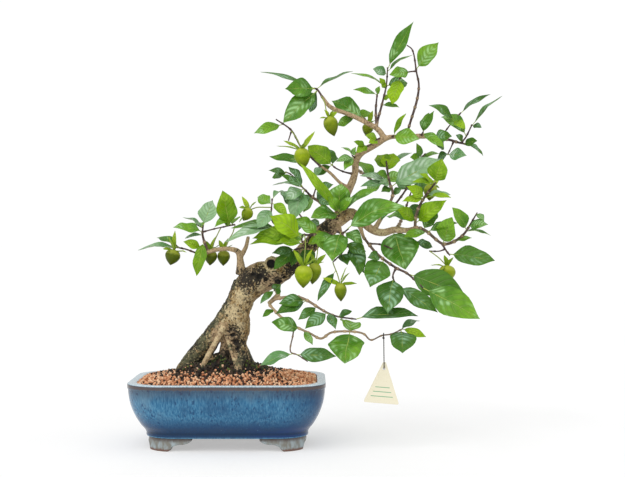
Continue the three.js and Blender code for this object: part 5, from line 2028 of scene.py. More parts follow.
@dataclass
class TwigSet:
    """The twigs and leaf stalks of one piece, as lines with a radius at each point."""

    surface: Surface = field(default_factory=Surface)
    step: float = 1.6
    young_radius: float = 1.7
    old_radius: float = 3.0
    bud_gap: float = 13.0
    bud_start: float = 4.0
    bud_reach: float = 1.2
    bud_height: float = 0.5
    waist: float = 0.9
    stalk_shares: tuple = (0.0, 0.05, 0.1, 0.2, 0.35, 0.55, 0.75, 0.92)
    thickest_stalk: float = 0.75
    thinnest_stalk: float = 0.3
    stalk_tip: float = 0.08

    def line(self, rows: np.ndarray, green: float, pale: float = 0.0) -> None:
        """Adds one line.

        Args:
            rows: its x, y, z and radius.
            green: 0 for wood to 1 for a soft stalk.
            pale: how much older than its girth its bark looks.
        """
        start = len(self.surface.points)
        self.surface.points.extend(rows[:, :3])
        self.surface.edges += [(start + step, start + step + 1) for step in range(len(rows) - 1)]
        age = (rows[:, 3] - self.young_radius) / (self.old_radius - self.young_radius)
        for key, values in (
            ("radius", rows[:, 3] * MM),
            ("green", [green] * len(rows)),
            ("age", np.clip(age + pale, 0, 1)),
        ):
            self.surface.values.setdefault(key, []).extend(values)

    def twig(self, route: Sequence[Stop], pale: float) -> None:
        """Adds a woody twig with a swelling at each bud.

        Args:
            route: its stops.
            pale: how much older than its girth its bark looks.
        """
        rows = route_curve(route, self.step)
        away = np.abs((travel(rows) + self.bud_start) % self.bud_gap - self.bud_gap / 2)
        rows[:, 3] *= self.waist + self.bud_height * np.exp(-((away / self.bud_reach) ** 2))
        self.line(rows, 0.0, pale)

    def stalk(self, blade: tuple, leaf: Leaf, phase: float) -> None:
        """Adds a leaf's stalk, which runs on under the blade as its midrib.

        Args:
            blade: the leaf's base, its axis and the direction that its upper face looks in.
            leaf: its sizes.
            phase: where its wavy edge starts.
        """
        start, axis, facing = blade
        rows = []
        size = min(self.thickest_stalk, self.thinnest_stalk + leaf.width / 60)
        for share in self.stalk_shares:
            radius = size * (1 - share) ** 0.8 * 0.8 + self.stalk_tip
            sway = leaf.bend + SWAY / 2 * leaf.width * math.sin(SWAY_RATE * share + 2 * phase)
            rise = sway * 4 * share * (1 - share) - min(1.0, share / 0.12) * (0.8 * radius + 0.1)
            rows.append((*(start + axis * share + facing * rise), radius))
        self.line(np.array(rows), 1.0)

    def build(self, name: str, shapes: Shapes, material: Material) -> Piece:
        """Runs the twig tree on the lines."""
        carrier = self.surface.build(f"{name}_lines")
        return run_tree(carrier, shapes.twigs, {"Sides": 8, "Knobs": 0.16, "Finish": material}, name)


@dataclass
class LeafyStem:
    """One leafy twig: its twigs, its leaves, and small young leaves that only show here."""

    node: str
    tone: Tone
    twigs: list
    leaves: list
    young: list = field(default_factory=list)
    pale: float = 0.0
    tint_seed: int = 300

    def build(self, shapes: Shapes, finishes: dict, first: int) -> int:
        """Builds the stem's twigs and its leaves, one piece for each tone.

        Args:
            shapes: the geometry trees.
            finishes: the materials by tone and name.
            first: the number of leaves before this stem's.

        Returns:
            The number of leaves up to and with this stem's.
        """
        twigs = TwigSet()
        for route in self.twigs:
            twigs.twig(route, self.pale)
        blades: dict[Tone, BladeSet] = {}
        for number, leaf in enumerate(self.leaves + self.young, first + 1):
            phase = math.tau * scatter(number)
            tone_set = blades.setdefault(leaf.tone or self.tone, BladeSet())
            blade = tone_set.put(leaf, phase, scatter(number + self.tint_seed))
            twigs.stalk(blade, leaf, phase)
        declare(twigs.build(f"{self.node}_twigs", shapes, finishes["twig"]), "bark", self.node)
        for tone, tone_set in blades.items():
            piece = tone_set.build(f"{self.node}_{tone.value}", shapes, shapes.leaf, finishes[tone])
            declare(piece, tone.value, self.node)
        return first + len(self.leaves)


# Leafy stems: twigs of (x, z, depth, radius), then leaves.
STEMS = [
  # Left branch
  LeafyStem("stem_left_tip", MID, [
    [(-37, 254, -15, 1.8), (-46, 257, -17, 1.4), (-60, 262, -20, 1.2), (-74, 264.5, -22, 1)],
    [(-60, 262, -20, 1), (-66, 263, -16, 1), (-72, 267, -13, 1)],
  ], [
    Leaf((-66, 263, -16), (-124, 260, -20), 22, 78, 4, PALE),
    Leaf((-71, 266, -13), (-98, 277, 6), 18, 60, 3),
  ]),
  LeafyStem("stem_left_shoot", MID, [
    [(-28, 257, -13, 2.2), (-33, 270, -15, 2), (-36, 282, -16, 1.6), (-35, 294, -16, 1.1)],
    [(-35, 285, -16, 1.2), (-20, 289, -18, 1), (-6, 292, -20, 1), (8, 295, -22, 1)],
  ], [
    Leaf((-34, 272, -15), (-44, 225, -27), 17, 10, 5, BRIGHT),
    Leaf((-36, 285, -16), (-76, 291, -30), 20, 50, 3),
    Leaf((-35, 291, -16), (-63, 305, -4), 15, 78, 2, PALE),
    Leaf((-35, 293, -16), (-22, 328, -8), 25, 15, 2, PALE),
    Leaf((-35, 289, -16), (-50, 296, 14), 17, 60, 3),
    Leaf((-1, 293, -21), (-9, 341, -34), 28, 15, 4, BRIGHT),
    Leaf((3, 294, -21), (14, 304, 6), 16, 60, 3),
  ], [
    Leaf((-4, 292, -20), (-20, 291, -42), 13, 60, 8),
    Leaf((3, 294, -21), (-14, 304, -30), 15, 40, 2, BRIGHT),
    Leaf((-37, 263, -15), (-62, 272, -20), 13, 20, 2, BRIGHT),
    Leaf((-35, 281, -16), (-60, 276, -24), 9, 60, 2, PALE),
  ]),
  # Left middle, in front of the trunk
  LeafyStem("stem_mid_left", BRIGHT, [
    [
      (143, 282, -21, 1.7), (120, 281, -26, 1.7), (100, 281, -28, 1.5), (84, 284, -34, 1.3),
      (68, 290, -38, 1.2), (58, 300, -38, 1.1), (58, 330, -38, 1),
    ],
    [(99, 281, -28, 1.3), (98, 275, -37, 1.2), (100, 268, -44, 1)],
  ], [
    Leaf((136, 281, -22), (106, 268, -10), 20, 45, 3),
    Leaf((66, 291, -38), (2, 290, -26), 22, 62, 3, MID),
    Leaf((64, 293, -38), (-5, 271, -50), 24, 60, 4, PALE),
    Leaf((58, 316, -38), (38, 290, -46), 19, 15, 2, PALE),
    Leaf((58, 322, -38), (38, 332, -26), 17, 25, 2, MID),
    Leaf((58, 324, -38), (79, 308, -46), 14, 20, 2),
    Leaf((58, 329, -38), (78, 338, -26), 15, 78, 5, PALE),
    Leaf((98, 277, -35), (54, 307, -58), 32, 25, 4),
    Leaf((99, 272, -40), (27, 268, -48), 28, 55, 5),
    Leaf((100, 269, -43), (63, 270, -66), 20, 55, 2),
  ], [
    Leaf((120, 281, -26), (89, 303, -20), 20, 30, 3, MID),
    Leaf((84, 284, -34), (31, 276, -44), 22, 25, 3),
    Leaf((143, 281, -24), (109, 270, -34), 17, 40, 2, MID),
    Leaf((114, 281, -27), (129, 259, -38), 17, 30, 3, MID),
    Leaf((104, 281, -28), (79, 270, -36), 14, 35, 2, MID),
  ]),
  LeafyStem("stem_by_knot", DARK, [
    [(108, 264, 0, 2), (98, 263, -16, 1.6), (88, 261, -25, 1.2)],
  ], [
    Leaf((89, 261, -24), (60, 234, -36), 16, 20, 2),
    Leaf((89, 261, -24), (57, 256, -40), 13, 20, 2),
  ], [
    Leaf((98, 263, -17), (113, 237, -30), 21, 20, 3),
    Leaf((93, 262, -20), (84, 238, -30), 15, 25, 2),
  ]),
  LeafyStem("stem_crown_left", DARK, [
    [(125, 324, 2, 2.4), (112, 332, -2, 2), (103, 341, -6, 1.4), (98, 346, -9, 1.1)],
    [(99, 345, -8, 1), (84, 362, 4, 1), (76, 366, 8, 1)],
    [(113, 331, -1, 1.3), (117, 344, 0, 1.1)],
  ], [
    Leaf((102, 342, -7), (85, 299, -26), 26, 15, 4, PALE),
    Leaf((100, 343, -8), (75, 328, -26), 19, 25, 3, PALE),
    Leaf((100, 345, -8), (69, 362, -20), 13, 40, 2),
    Leaf((99, 346, -8), (80, 373, -8), 16, 50, 2),
    Leaf((99, 345, -8), (58, 348, 10), 16, 78, 4, PALE),
    Leaf((78, 365, 7), (53, 368, 4), 11, 50, 1),
    Leaf((78, 365, 7), (58, 358, 18), 14, 40, 1),
  ], [
    Leaf((117, 343, 0), (141, 349, 4), 12, 20, 1, DARK),
    Leaf((123, 326, 1), (120, 342, -6), 10, 20, 1, DARK),
    Leaf((114, 331, -1), (100, 311, -12), 12, 30, 1, MID),
    Leaf((119, 329, -1), (139, 321, -12), 14, 30, 1),
    Leaf((110, 334, -3), (93, 321, -2), 13, 30, 1),
  ]),
  LeafyStem("stem_heart", MID, [
    [(148, 302, -4, 1.8), (148, 313, -15, 1.4)],
  ], [
    Leaf((148, 311, -14), (92, 381, -46), 14, 20, 6, BRIGHT),
    Leaf((148, 312, -15), (151, 350, -6), 33, 20, 3),
    Leaf((148, 312, -15), (133, 333, -30), 17, 30, 2),
    Leaf((148, 312, -15), (168, 332, -30), 15, 35, 2),
    Leaf((148, 310, -14), (201, 343, -32), 22, 62, 4),
    Leaf((148, 309, -12), (110, 304, -36), 26, 45, 3),
  ]),
  LeafyStem("stem_centre", MID, [
    [(144, 286, -19, 1.5), (152, 283, -28, 1.4), (161, 289, -38, 1.1)],
  ], [
    Leaf((159, 288, -36), (237, 320, -60), 35, 35, 14),
    Leaf((155, 285, -32), (181, 269, -44), 20, 40, 2),
    Leaf((151, 284, -27), (139, 245, -54), 32, 20, 4),
  ]),
  # Top left
  LeafyStem("stem_top_left", DARK, [
    [(127, 465, -5, 1.7), (119, 477, -6, 1.4), (115, 479, -8, 1.1)],
  ], [
    Leaf((116, 478, -8), (41, 501, -20), 18, 78, 3),
    Leaf((117, 478, -7), (75, 478, -28), 27, 20, 2, MID),
    Leaf((119, 476, -6), (73, 432, -24), 28, 20, 3, MID),
    Leaf((118, 478, -7), (168, 502, 8), 16, 78, 3),
    Leaf((119, 476, -6), (109, 446, 14), 18, 30, 2),
  ]),
  LeafyStem("stem_top_behind", MID, [
    [(188, 431, 2, 1.4), (180, 440, 10, 1.2), (168, 439, 12, 1)],
  ], [
    Leaf((182, 438, 8), (138, 462, 12), 28, 30, 4),
    Leaf((170, 439, 12), (145, 428, 18), 15, 30, 2),
    Leaf((170, 439, 12), (192, 446, 30), 14, 40, 2),
  ]),
  LeafyStem("stem_left_fork", MID, [
    [
      (124, 373, 5, 1.6), (116, 380, 4, 1.4), (106, 391, 8, 1.2), (96, 401, 10, 1.1),
      (84, 422, 10, 1.3), (63, 437, 10, 1),
    ],
    [(84, 421, 10, 1.1), (80, 408, 8, 1)],
  ], [
    Leaf((72, 430, 10), (33, 418, -6), 16, 25, 2),
    Leaf((110, 385, 7), (54, 387, 24), 16, 45, -4),
  ], [
    Leaf((124, 373, 5), (116, 360, -4), 11, 30, 1, PALE),
  ]),
  LeafyStem("stem_behind_fruit", DARK, [
    [(168, 363, 8, 1.8), (155, 366, 6, 1.2), (144, 371, 5, 1.1), (138, 376, 12, 1)],
  ], [
    Leaf((140, 374, 9), (106, 401, 24), 27, 15, 3, BRIGHT),
    Leaf((140, 374, 9), (134, 397, 34), 18, 30, 2),
    Leaf((139, 375, 10), (113, 361, 20), 13, 20, 1),
  ]),
  LeafyStem("stem_trunk_left", MID, [
    [(171, 384, 8, 1.4), (166, 388, -2, 1)],
  ], [
    Leaf((168, 386, 1), (144, 380, -10), 12, 40, 1),
    Leaf((167, 387, 0), (151, 399, -2), 9, 70, 3),
    Leaf((168, 386, 1), (155, 368, -10), 13, 30, 1),
  ], [
    Leaf((167, 387, 0), (171, 400, -8), 8, 30, 1),
  ]),
  LeafyStem("stem_trunk_top", BRIGHT, [
    [(204, 411, 2, 1.4), (200, 410, -8, 1.1), (188, 401, -9, 1.1), (179, 401, -8, 1)],
  ], [
    Leaf((201, 410, -6), (188, 405, -18), 13, 20, 1),
    Leaf((201, 410, -6), (183, 415, -2), 12, 40, 2),
    Leaf((188, 401, -9), (171, 392, -14), 12, 30, 1),
  ], [
    Leaf((184, 401, -9), (168, 407, -12), 9, 30, 1),
  ]),
  # Top
  LeafyStem("stem_apex", MID, [
    [(199, 427, 1, 2.2), (198, 450, 2, 1.6), (200, 472, 2, 1)],
    [(199, 430, 2, 2), (206, 456, 5, 1.7), (212, 482, 8, 1.3), (214, 507, 8, 1)],
  ], [
    Leaf((214, 505, 8), (249, 569, -4), 20, 30, 3),
    Leaf((213, 498, 8), (194, 505, -2), 14, 25, 2, PALE),
    Leaf((214, 502, 8), (248, 524, 26), 14, 75, 3),
    Leaf((212, 481, 8), (164, 499, -4), 12, 78, 4),
    Leaf((212, 482, 8), (241, 486, 26), 19, 30, 2, DARK),
    Leaf((200, 470, 2), (167, 477, -8), 12, 50, 2),
    Leaf((206, 456, 5), (230, 453, -8), 10, 50, 2),
  ], [
    Leaf((211, 478, 8), (203, 493, -4), 9, 30, 1, BRIGHT),
    Leaf((208, 464, 6), (219, 468, -4), 8, 30, 1, BRIGHT),
    Leaf((200, 470, 2), (203, 482, -6), 8, 30, 1),
  ]),
  LeafyStem("stem_upright", BRIGHT, [
    [
      (240, 413, 7, 2.2), (242, 424, 6, 1.9), (254, 465, 6, 1.9), (256, 484, 6, 1.6),
      (253, 500, 4, 1.4), (247, 531, 4, 1.1), (240, 537, 4, 0.9),
    ],
    [(253, 502, 4, 1.1), (240, 500, -2, 1.1), (229, 491, -6, 1)],
  ], [
    Leaf((231, 492, -5), (220, 457, -12), 21, 20, 2),
    Leaf((244, 501, 0), (216, 497, -16), 17, 20, 2, MID),
    Leaf((253, 505, 4), (283, 541, -10), 25, 20, 3, MID),
  ]),
  # Upper right
  LeafyStem("stem_stub", MID, [
    [(220, 413, 2, 1.4), (222, 415, -7, 1.1)],
  ], [
    Leaf((221, 414, -3), (257, 410, -20), 23, 20, 3),
    Leaf((222, 415, -6), (239, 445, -14), 11, 50, 2, BRIGHT),
  ]),
  LeafyStem("stem_burr", MID, [
    [(259, 415, 9, 1.4), (262, 420, 0, 1.1)],
  ], [
    Leaf((261, 418, 4), (277, 449, -6), 11, 20, 2),
    Leaf((261, 418, 4), (270, 446, 22), 14, 20, 2),
    Leaf((261, 419, 2), (290, 399, -22), 14, 30, 2),
  ]),
  LeafyStem("stem_far_right", DARK, [
    [(266, 414, 10, 2.2), (284, 411, 10, 2.2), (298, 409, 10, 1.9), (308, 406, 10, 1.8), (321, 403, 9, 1.1)],
    [(313, 405, 10, 1.5), (319, 412, 10, 1.2), (328, 430, 10, 1)],
    [(286, 411, 10, 1.6), (292, 421, 8, 1.1), (303, 435, 6, 1), (313, 446, 5, 1)],
    [(303, 407, 10, 1.4), (300, 400, 8, 1), (295, 389, 2, 1)],
  ], [
    Leaf((276, 412, 10), (301, 414, -10), 18, 25, 2),
    Leaf((275, 413, 10), (290, 396, 28), 16, 40, 2),
    Leaf((303, 435, 6), (269, 456, -8), 16, 45, 6),
    Leaf((303, 435, 6), (319, 424, -16), 12, 25, 2, BRIGHT),
    Leaf((320, 414, 10), (286, 440, 20), 20, 30, 14, MID),
    Leaf((312, 445, 5), (353, 471, -4), 13, 60, 3),
    Leaf((328, 429, 10), (369, 469, 24), 14, 72, 3),
    Leaf((317, 404, 9), (335, 408, -8), 12, 25, 1),
    Leaf((320, 403, 9), (343, 387, 14), 11, 60, 4),
    Leaf((295, 389, 2), (321, 388, -14), 18, 25, 2, PALE),
  ], [
    Leaf((328, 429, 10), (341, 426, 0), 9, 30, 1),
    Leaf((316, 408, 10), (306, 416, -6), 9, 30, 1),
    Leaf((296, 391, 3), (281, 383, 18), 13, 30, 1),
  ]),
  # Middle right
  LeafyStem("stem_riser", PALE, [
    [(215, 320, 8, 2.2), (221, 336, 12, 2.2), (217, 350, 14, 1.9), (214, 365, 16, 1.6), (212, 381, 16, 1.1)],
  ], [
    Leaf((214, 370, 16), (200, 389, 34), 22, 20, 2, BRIGHT),
    Leaf((214, 367, 16), (222, 391, 30), 26, 15, 2, BRIGHT),
    Leaf((213, 374, 16), (247, 392, 44), 13, 60, 2),
    Leaf((216, 353, 14), (176, 361, 2), 17, 60, 2),
    Leaf((217, 351, 14), (177, 346, -8), 15, 55, 2),
    Leaf((219, 346, 13), (286, 384, -14), 34, 25, 4),
  ], [
    Leaf((215, 360, 15), (199, 365, 4), 12, 30, 1, MID),
    Leaf((217, 350, 14), (202, 352, 2), 12, 30, 1),
    Leaf((219, 344, 13), (205, 339, 2), 12, 30, 1, DARK),
    Leaf((221, 336, 12), (233, 343, 2), 11, 30, 1, DARK),
    Leaf((216, 320, 8), (200, 298, -6), 14, 20, 2, DARK),
  ]),
  LeafyStem("stem_riser_fork", MID, [
    [
      (208, 308, 1, 2), (217, 315, 12, 1.9), (228, 327, 18, 1.6), (242, 348, 24, 1.4), (254, 378, 29, 1.2),
      (265, 391, 30, 1),
    ],
  ], [
    Leaf((259, 384, 29), (253, 405, 12), 10, 20, 1),
    Leaf((259, 384, 29), (244, 386, 18), 12, 20, 1),
    Leaf((259, 384, 29), (284, 391, 38), 12, 60, 2),
  ]),
  LeafyStem("stem_right_rising", BRIGHT, [
    [
      (251, 289, -24, 2.2), (252, 306, -30, 2.2), (258, 322, -34, 2),
      (266, 335, -38, 1.8), (279, 352, -44, 1.1),
    ],
  ], [
    Leaf((278, 351, -43), (288, 384, -60), 27, 10, 3),
    Leaf((278, 351, -43), (246, 352, -54), 12, 55, 2),
    Leaf((264, 331, -37), (239, 347, -52), 16, 20, 3),
    Leaf((264, 331, -37), (300, 331, -58), 14, 65, 3),
    Leaf((263, 330, -37), (233, 326, -56), 13, 35, 2),
    Leaf((252, 297, -27), (294, 328, -58), 23, 25, 3),
    Leaf((252, 299, -28), (223, 318, -52), 18, 30, 3),
    Leaf((252, 303, -29), (212, 306, -4), 24, 60, 2, MID),
    Leaf((252, 304, -29), (274, 304, 4), 20, 30, 2),
  ], [
    Leaf((277, 350, -43), (257, 364, -50), 9, 50, 1),
    Leaf((266, 335, -38), (299, 335, -44), 11, 40, 2, PALE),
    Leaf((252, 304, -29), (279, 323, -14), 20, 30, 2, MID),
  ]),
  LeafyStem("stem_right_falling", MID, [
    [
      (256, 291, -26, 2), (266, 286, -26, 2.2), (288, 269, -26, 2),
      (299, 270, -28, 2.2), (315, 280, -32, 1.9), (335, 311, -40, 0.9),
    ],
    [(287, 270, -26, 1.7), (292, 261, -28, 1.4), (298, 253, -31, 1)],
    [(292, 262, -28, 1.2), (284, 259, -30, 1), (270, 259, -32, 1)],
  ], [
    Leaf((289, 270, -27), (301, 305, -50), 28, 15, 3),
    Leaf((267, 285, -26), (235, 277, -42), 16, 45, 2),
    Leaf((323, 292, -36), (350, 295, -56), 16, 30, 3),
    Leaf((320, 288, -35), (301, 318, -46), 19, 30, 4),
    Leaf((319, 286, -34), (353, 280, -28), 12, 75, 3),
    Leaf((297, 255, -30), (359, 246, -52), 26, 20, 3, DARK),
  ], [
    Leaf((334, 309, -40), (344, 299, -50), 9, 30, 3),
    Leaf((268, 285, -27), (309, 297, -44), 17, 45, 3),
    Leaf((262, 288, -26), (281, 312, -18), 20, 30, 2),
    Leaf((303, 273, -29), (328, 277, -36), 9, 40, 1),
  ]),
  LeafyStem("stem_right_under", DARK, [
    [(224, 288, -17, 2.6), (236, 279, -14, 2.2), (247, 271, -8, 1.6), (260, 272, -2, 1.1)],
  ], [
    Leaf((221, 286, -17), (238, 234, -40), 50, 12, 4, MID),
    Leaf((250, 271, -7), (275, 264, 6), 14, 30, 2),
    Leaf((249, 271, -7), (243, 248, 12), 12, 30, 1),
  ]),
  # Hanging stems
  LeafyStem("stem_hanging_inner", DARK, [
    [(151, 284, -13, 2.2), (158, 270, -20, 2), (168, 257, -24, 1.8), (184, 238, -28, 1.1)],
    [(160, 267, -21, 1.4), (150, 254, -28, 1.1), (140, 244, -34, 1)],
  ], [
    Leaf((162, 265, -22), (185, 258, -8), 17, 45, 2),
    Leaf((173, 251, -25), (176, 226, -44), 14, 20, 1),
    Leaf((150, 255, -28), (160, 240, -46), 16, 30, 2),
  ], [
    Leaf((158, 270, -20), (185, 253, -32), 19, 30, 2),
    Leaf((160, 267, -21), (182, 229, -36), 24, 25, 3),
    Leaf((144, 233, -40), (119, 191, -54), 13, 30, 2),
  ]),
  LeafyStem("stem_hanging_outer", DARK, [
    [
      (181, 278, -21, 2), (200, 255, -34, 2.1), (226, 236, -48, 1.8), (240, 229, -54, 1.7),
      (263, 208, -68, 1),
    ],
    [(225, 236, -48, 1.6), (221, 224, -56, 1.2), (228, 210, -62, 1)],
    [(188, 269, -25, 1.5), (204, 268, -30, 1.2), (220, 262, -44, 1)],
  ], [
    Leaf((209, 247, -39), (190, 210, -62), 36, 15, 4),
    Leaf((222, 224, -55), (214, 174, -82), 36, 10, 5),
    Leaf((227, 211, -61), (282, 176, -76), 22, 20, 3),
    Leaf((242, 228, -55), (318, 199, -66), 37, 10, 4),
    Leaf((262, 209, -69), (339, 167, -96), 38, 12, 5, MID),
  ], [
    Leaf((203, 252, -36), (187, 250, -54), 14, 20, 2, DARK),
  ]),
  # Lower front branch
  LeafyStem("stem_low_start", MID, [
    [(64, 206, -18, 1.6), (61, 206, -28, 1.1)],
  ], [
    Leaf((61, 206, -26), (70, 214, -50), 15, 0, 2, DARK),
    Leaf((61, 206, -26), (42, 188, -38), 10, 30, 2, DARK),
  ]),
  LeafyStem("stem_low_upper", DARK, [
    [
      (55, 191, -29, 2), (66, 195, -34, 2.3), (92, 197, -42, 2.1), (104, 193, -46, 2),
      (130, 177, -54, 1.6), (145, 171, -58, 1.3), (172, 167, -62, 1),
    ],
  ], [
    Leaf((103, 193, -46), (67, 188, -60), 19, 30, 1),
    Leaf((105, 192, -46), (62, 174, -66), 18, 25, 2),
    Leaf((119, 184, -50), (93, 166, -62), 13, 20, 2),
    Leaf((133, 176, -55), (102, 154, -72), 19, 20, 3),
    Leaf((133, 176, -55), (144, 153, -70), 13, 20, 2),
    Leaf((171, 167, -62), (256, 171, -74), 25, 50, 7),
  ], [
    Leaf((147, 171, -58), (166, 178, -70), 10, 30, 1),
  ], 0.4),
  LeafyStem("stem_low_main", MID, [
    [
      (54, 187, -32, 2), (69, 171, -42, 2), (84, 160, -48, 1.9), (109, 148, -54, 1.7),
      (124, 141, -56, 1.8), (138, 149, -57, 1.7), (170, 150, -58, 1.6), (182, 147, -58, 1.4),
      (191, 139, -58, 1.2), (206, 145, -58, 1.05), (219, 147, -58, 1.05), (234, 154, -60, 0.9),
    ],
    [(88, 158, -49, 1.4), (86, 145, -56, 1.1), (83, 123, -62, 1), (92, 119, -64, 0.9), (106, 110, -66, 0.9)],
  ], [
    Leaf((95, 154, -51), (57, 163, -68), 20, 20, 4),
    Leaf((163, 150, -58), (156, 107, -80), 46, 10, 4),
    Leaf((164, 150, -58), (160, 166, -34), 28, 30, 2),
    Leaf((232, 153, -60), (234, 121, -76), 34, 10, 3, DARK),
    Leaf((233, 154, -60), (266, 143, -62), 12, 20, 2, BRIGHT),
    Leaf((231, 152, -60), (258, 165, -46), 16, 60, 3, PALE),
    Leaf((91, 119, -64), (145, 117, -76), 20, 15, 3, DARK),
    Leaf((87, 121, -63), (41, 104, -64), 20, 45, 3, PALE),
  ], [
    Leaf((100, 152, -52), (113, 132, -64), 10, 20, 1),
    Leaf((61, 180, -37), (45, 170, -48), 9, 30, 2),
  ], 0.75),
  # Back
  LeafyStem("stem_back_left", DARK, [
    [(120, 279, 8, 3.4), (112, 292, 36, 2.2), (100, 302, 62, 1.6), (90, 316, 86, 1)],
  ], [
    Leaf((104, 299, 54), (122, 288, 78), 20, 20, 2),
    Leaf((101, 301, 60), (84, 282, 84), 22, 40, 3),
    Leaf((90, 316, 85), (70, 340, 100), 22, 40, 3),
    Leaf((90, 316, 85), (112, 334, 104), 20, 40, 3),
  ]),
  LeafyStem("stem_back_top", MID, [
    [(171, 370, 12, 2.6), (186, 360, 42, 1.9), (196, 352, 70, 1.4), (209, 351, 92, 1)],
  ], [
    Leaf((193, 355, 60), (176, 380, 84), 20, 40, 3),
    Leaf((208, 351, 90), (184, 338, 108), 22, 40, 3),
    Leaf((208, 351, 90), (236, 362, 104), 20, 40, 3),
  ]),
  LeafyStem("stem_back_right", DARK, [
    [(226, 288, -14, 2.8), (232, 300, 26, 2), (240, 322, 56, 1.5), (246, 340, 84, 1)],
  ], [
    Leaf((239, 318, 50), (262, 306, 76), 20, 30, 3),
    Leaf((246, 339, 83), (226, 352, 100), 20, 40, 3),
    Leaf((246, 339, 83), (272, 346, 98), 22, 40, 3),
  ]),
]


# Share of a fruit's length and of its width, from its top to its tip.
FRUIT_OUTLINE = (
    (0, 0), (0.03, 0.42), (0.12, 0.76), (0.26, 0.95), (0.42, 1), (0.6, 0.86), (0.78, 0.58), (0.92, 0.24),
    (1, 0.03),
)


@dataclass
class Fruit:
    """A green fruit that hangs from its stalk under four calyx lobes."""

    node: str
    top: Place
    tip: Place
    width: float
    lobes: list
    stalk: list
    shade: float = 0.4
    calyx_share: float = 0.1
    lobe_width: float = 7.0
    lobe_root: float = 0.05
    lobe_bend: float = 1.0
    first_roll: float = 20.0
    next_roll: float = 30.0
    stalk_radius: float = 0.75
    stalk_green: float = 0.75
    stalk_step: float = 1.5
    outline_step: float = 0.045
    sides: int = 40
    ridge: float = 0.018
    tint_seed: int = 500

    def build_skin(self, material: Material) -> None:
        """Builds the pointed fruit, slightly four-sided.

        Args:
            material: the skin's finish.
        """
        start = seen(self.top)
        axis = seen(self.tip) - start
        along = unit(axis)
        side = unit(np.cross(along, (0.0, 1.0, 0.0)))
        back = np.cross(along, side)
        surface = Surface()
        rings = []
        for share, spread in outline_curve(FRUIT_OUTLINE, self.outline_step):
            ring = []
            for step in range(self.sides):
                angle = math.tau * step / self.sides
                radius = max(spread, 0.01) * self.width / 2 * (1 + self.ridge * math.cos(4 * angle))
                ring.append(start + axis * share + radius * (math.cos(angle) * side + math.sin(angle) * back))
                surface.uv.append((step / self.sides, share))
            rings.append(np.array(ring))
        surface.loft(rings)
        surface.values["shade"] = [self.shade] * len(surface.points)
        declare(surface.build(f"{self.node}_skin", material), "fruit", self.node)

    def build(self, shapes: Shapes, finishes: dict, first: int) -> int:
        """Builds the fruit, its calyx and its stalk.

        Args:
            shapes: the geometry trees.
            finishes: the materials by tone and name.
            first: the number of blades before this fruit's lobes.

        Returns:
            The number of blades up to and with them.
        """
        self.build_skin(finishes["fruit"])
        top, tip = np.array((self.top, self.tip), float)
        calyx = top + (tip - top) * self.calyx_share
        blades = BladeSet()
        for index, end in enumerate(self.lobes):
            base = calyx + (np.array(end) - calyx) * self.lobe_root
            roll = self.first_roll + self.next_roll * index
            lobe = Leaf(tuple(base), end, self.lobe_width, roll, self.lobe_bend)
            number = first + index
            blades.put(lobe, math.tau * scatter(number + 1), scatter(number + self.tint_seed))
        piece = blades.build(f"{self.node}_calyx", shapes, shapes.lobe, finishes["calyx"])
        declare(piece, "leaf_mid", self.node)
        stalk = TwigSet()
        route = [(*place, self.stalk_radius) for place in (calyx, *self.stalk)]
        stalk.line(route_curve(route, self.stalk_step), self.stalk_green)
        declare(stalk.build(f"{self.node}_stalk", shapes, finishes["twig"]), "leaf_mid", self.node)
        return first + len(self.lobes)


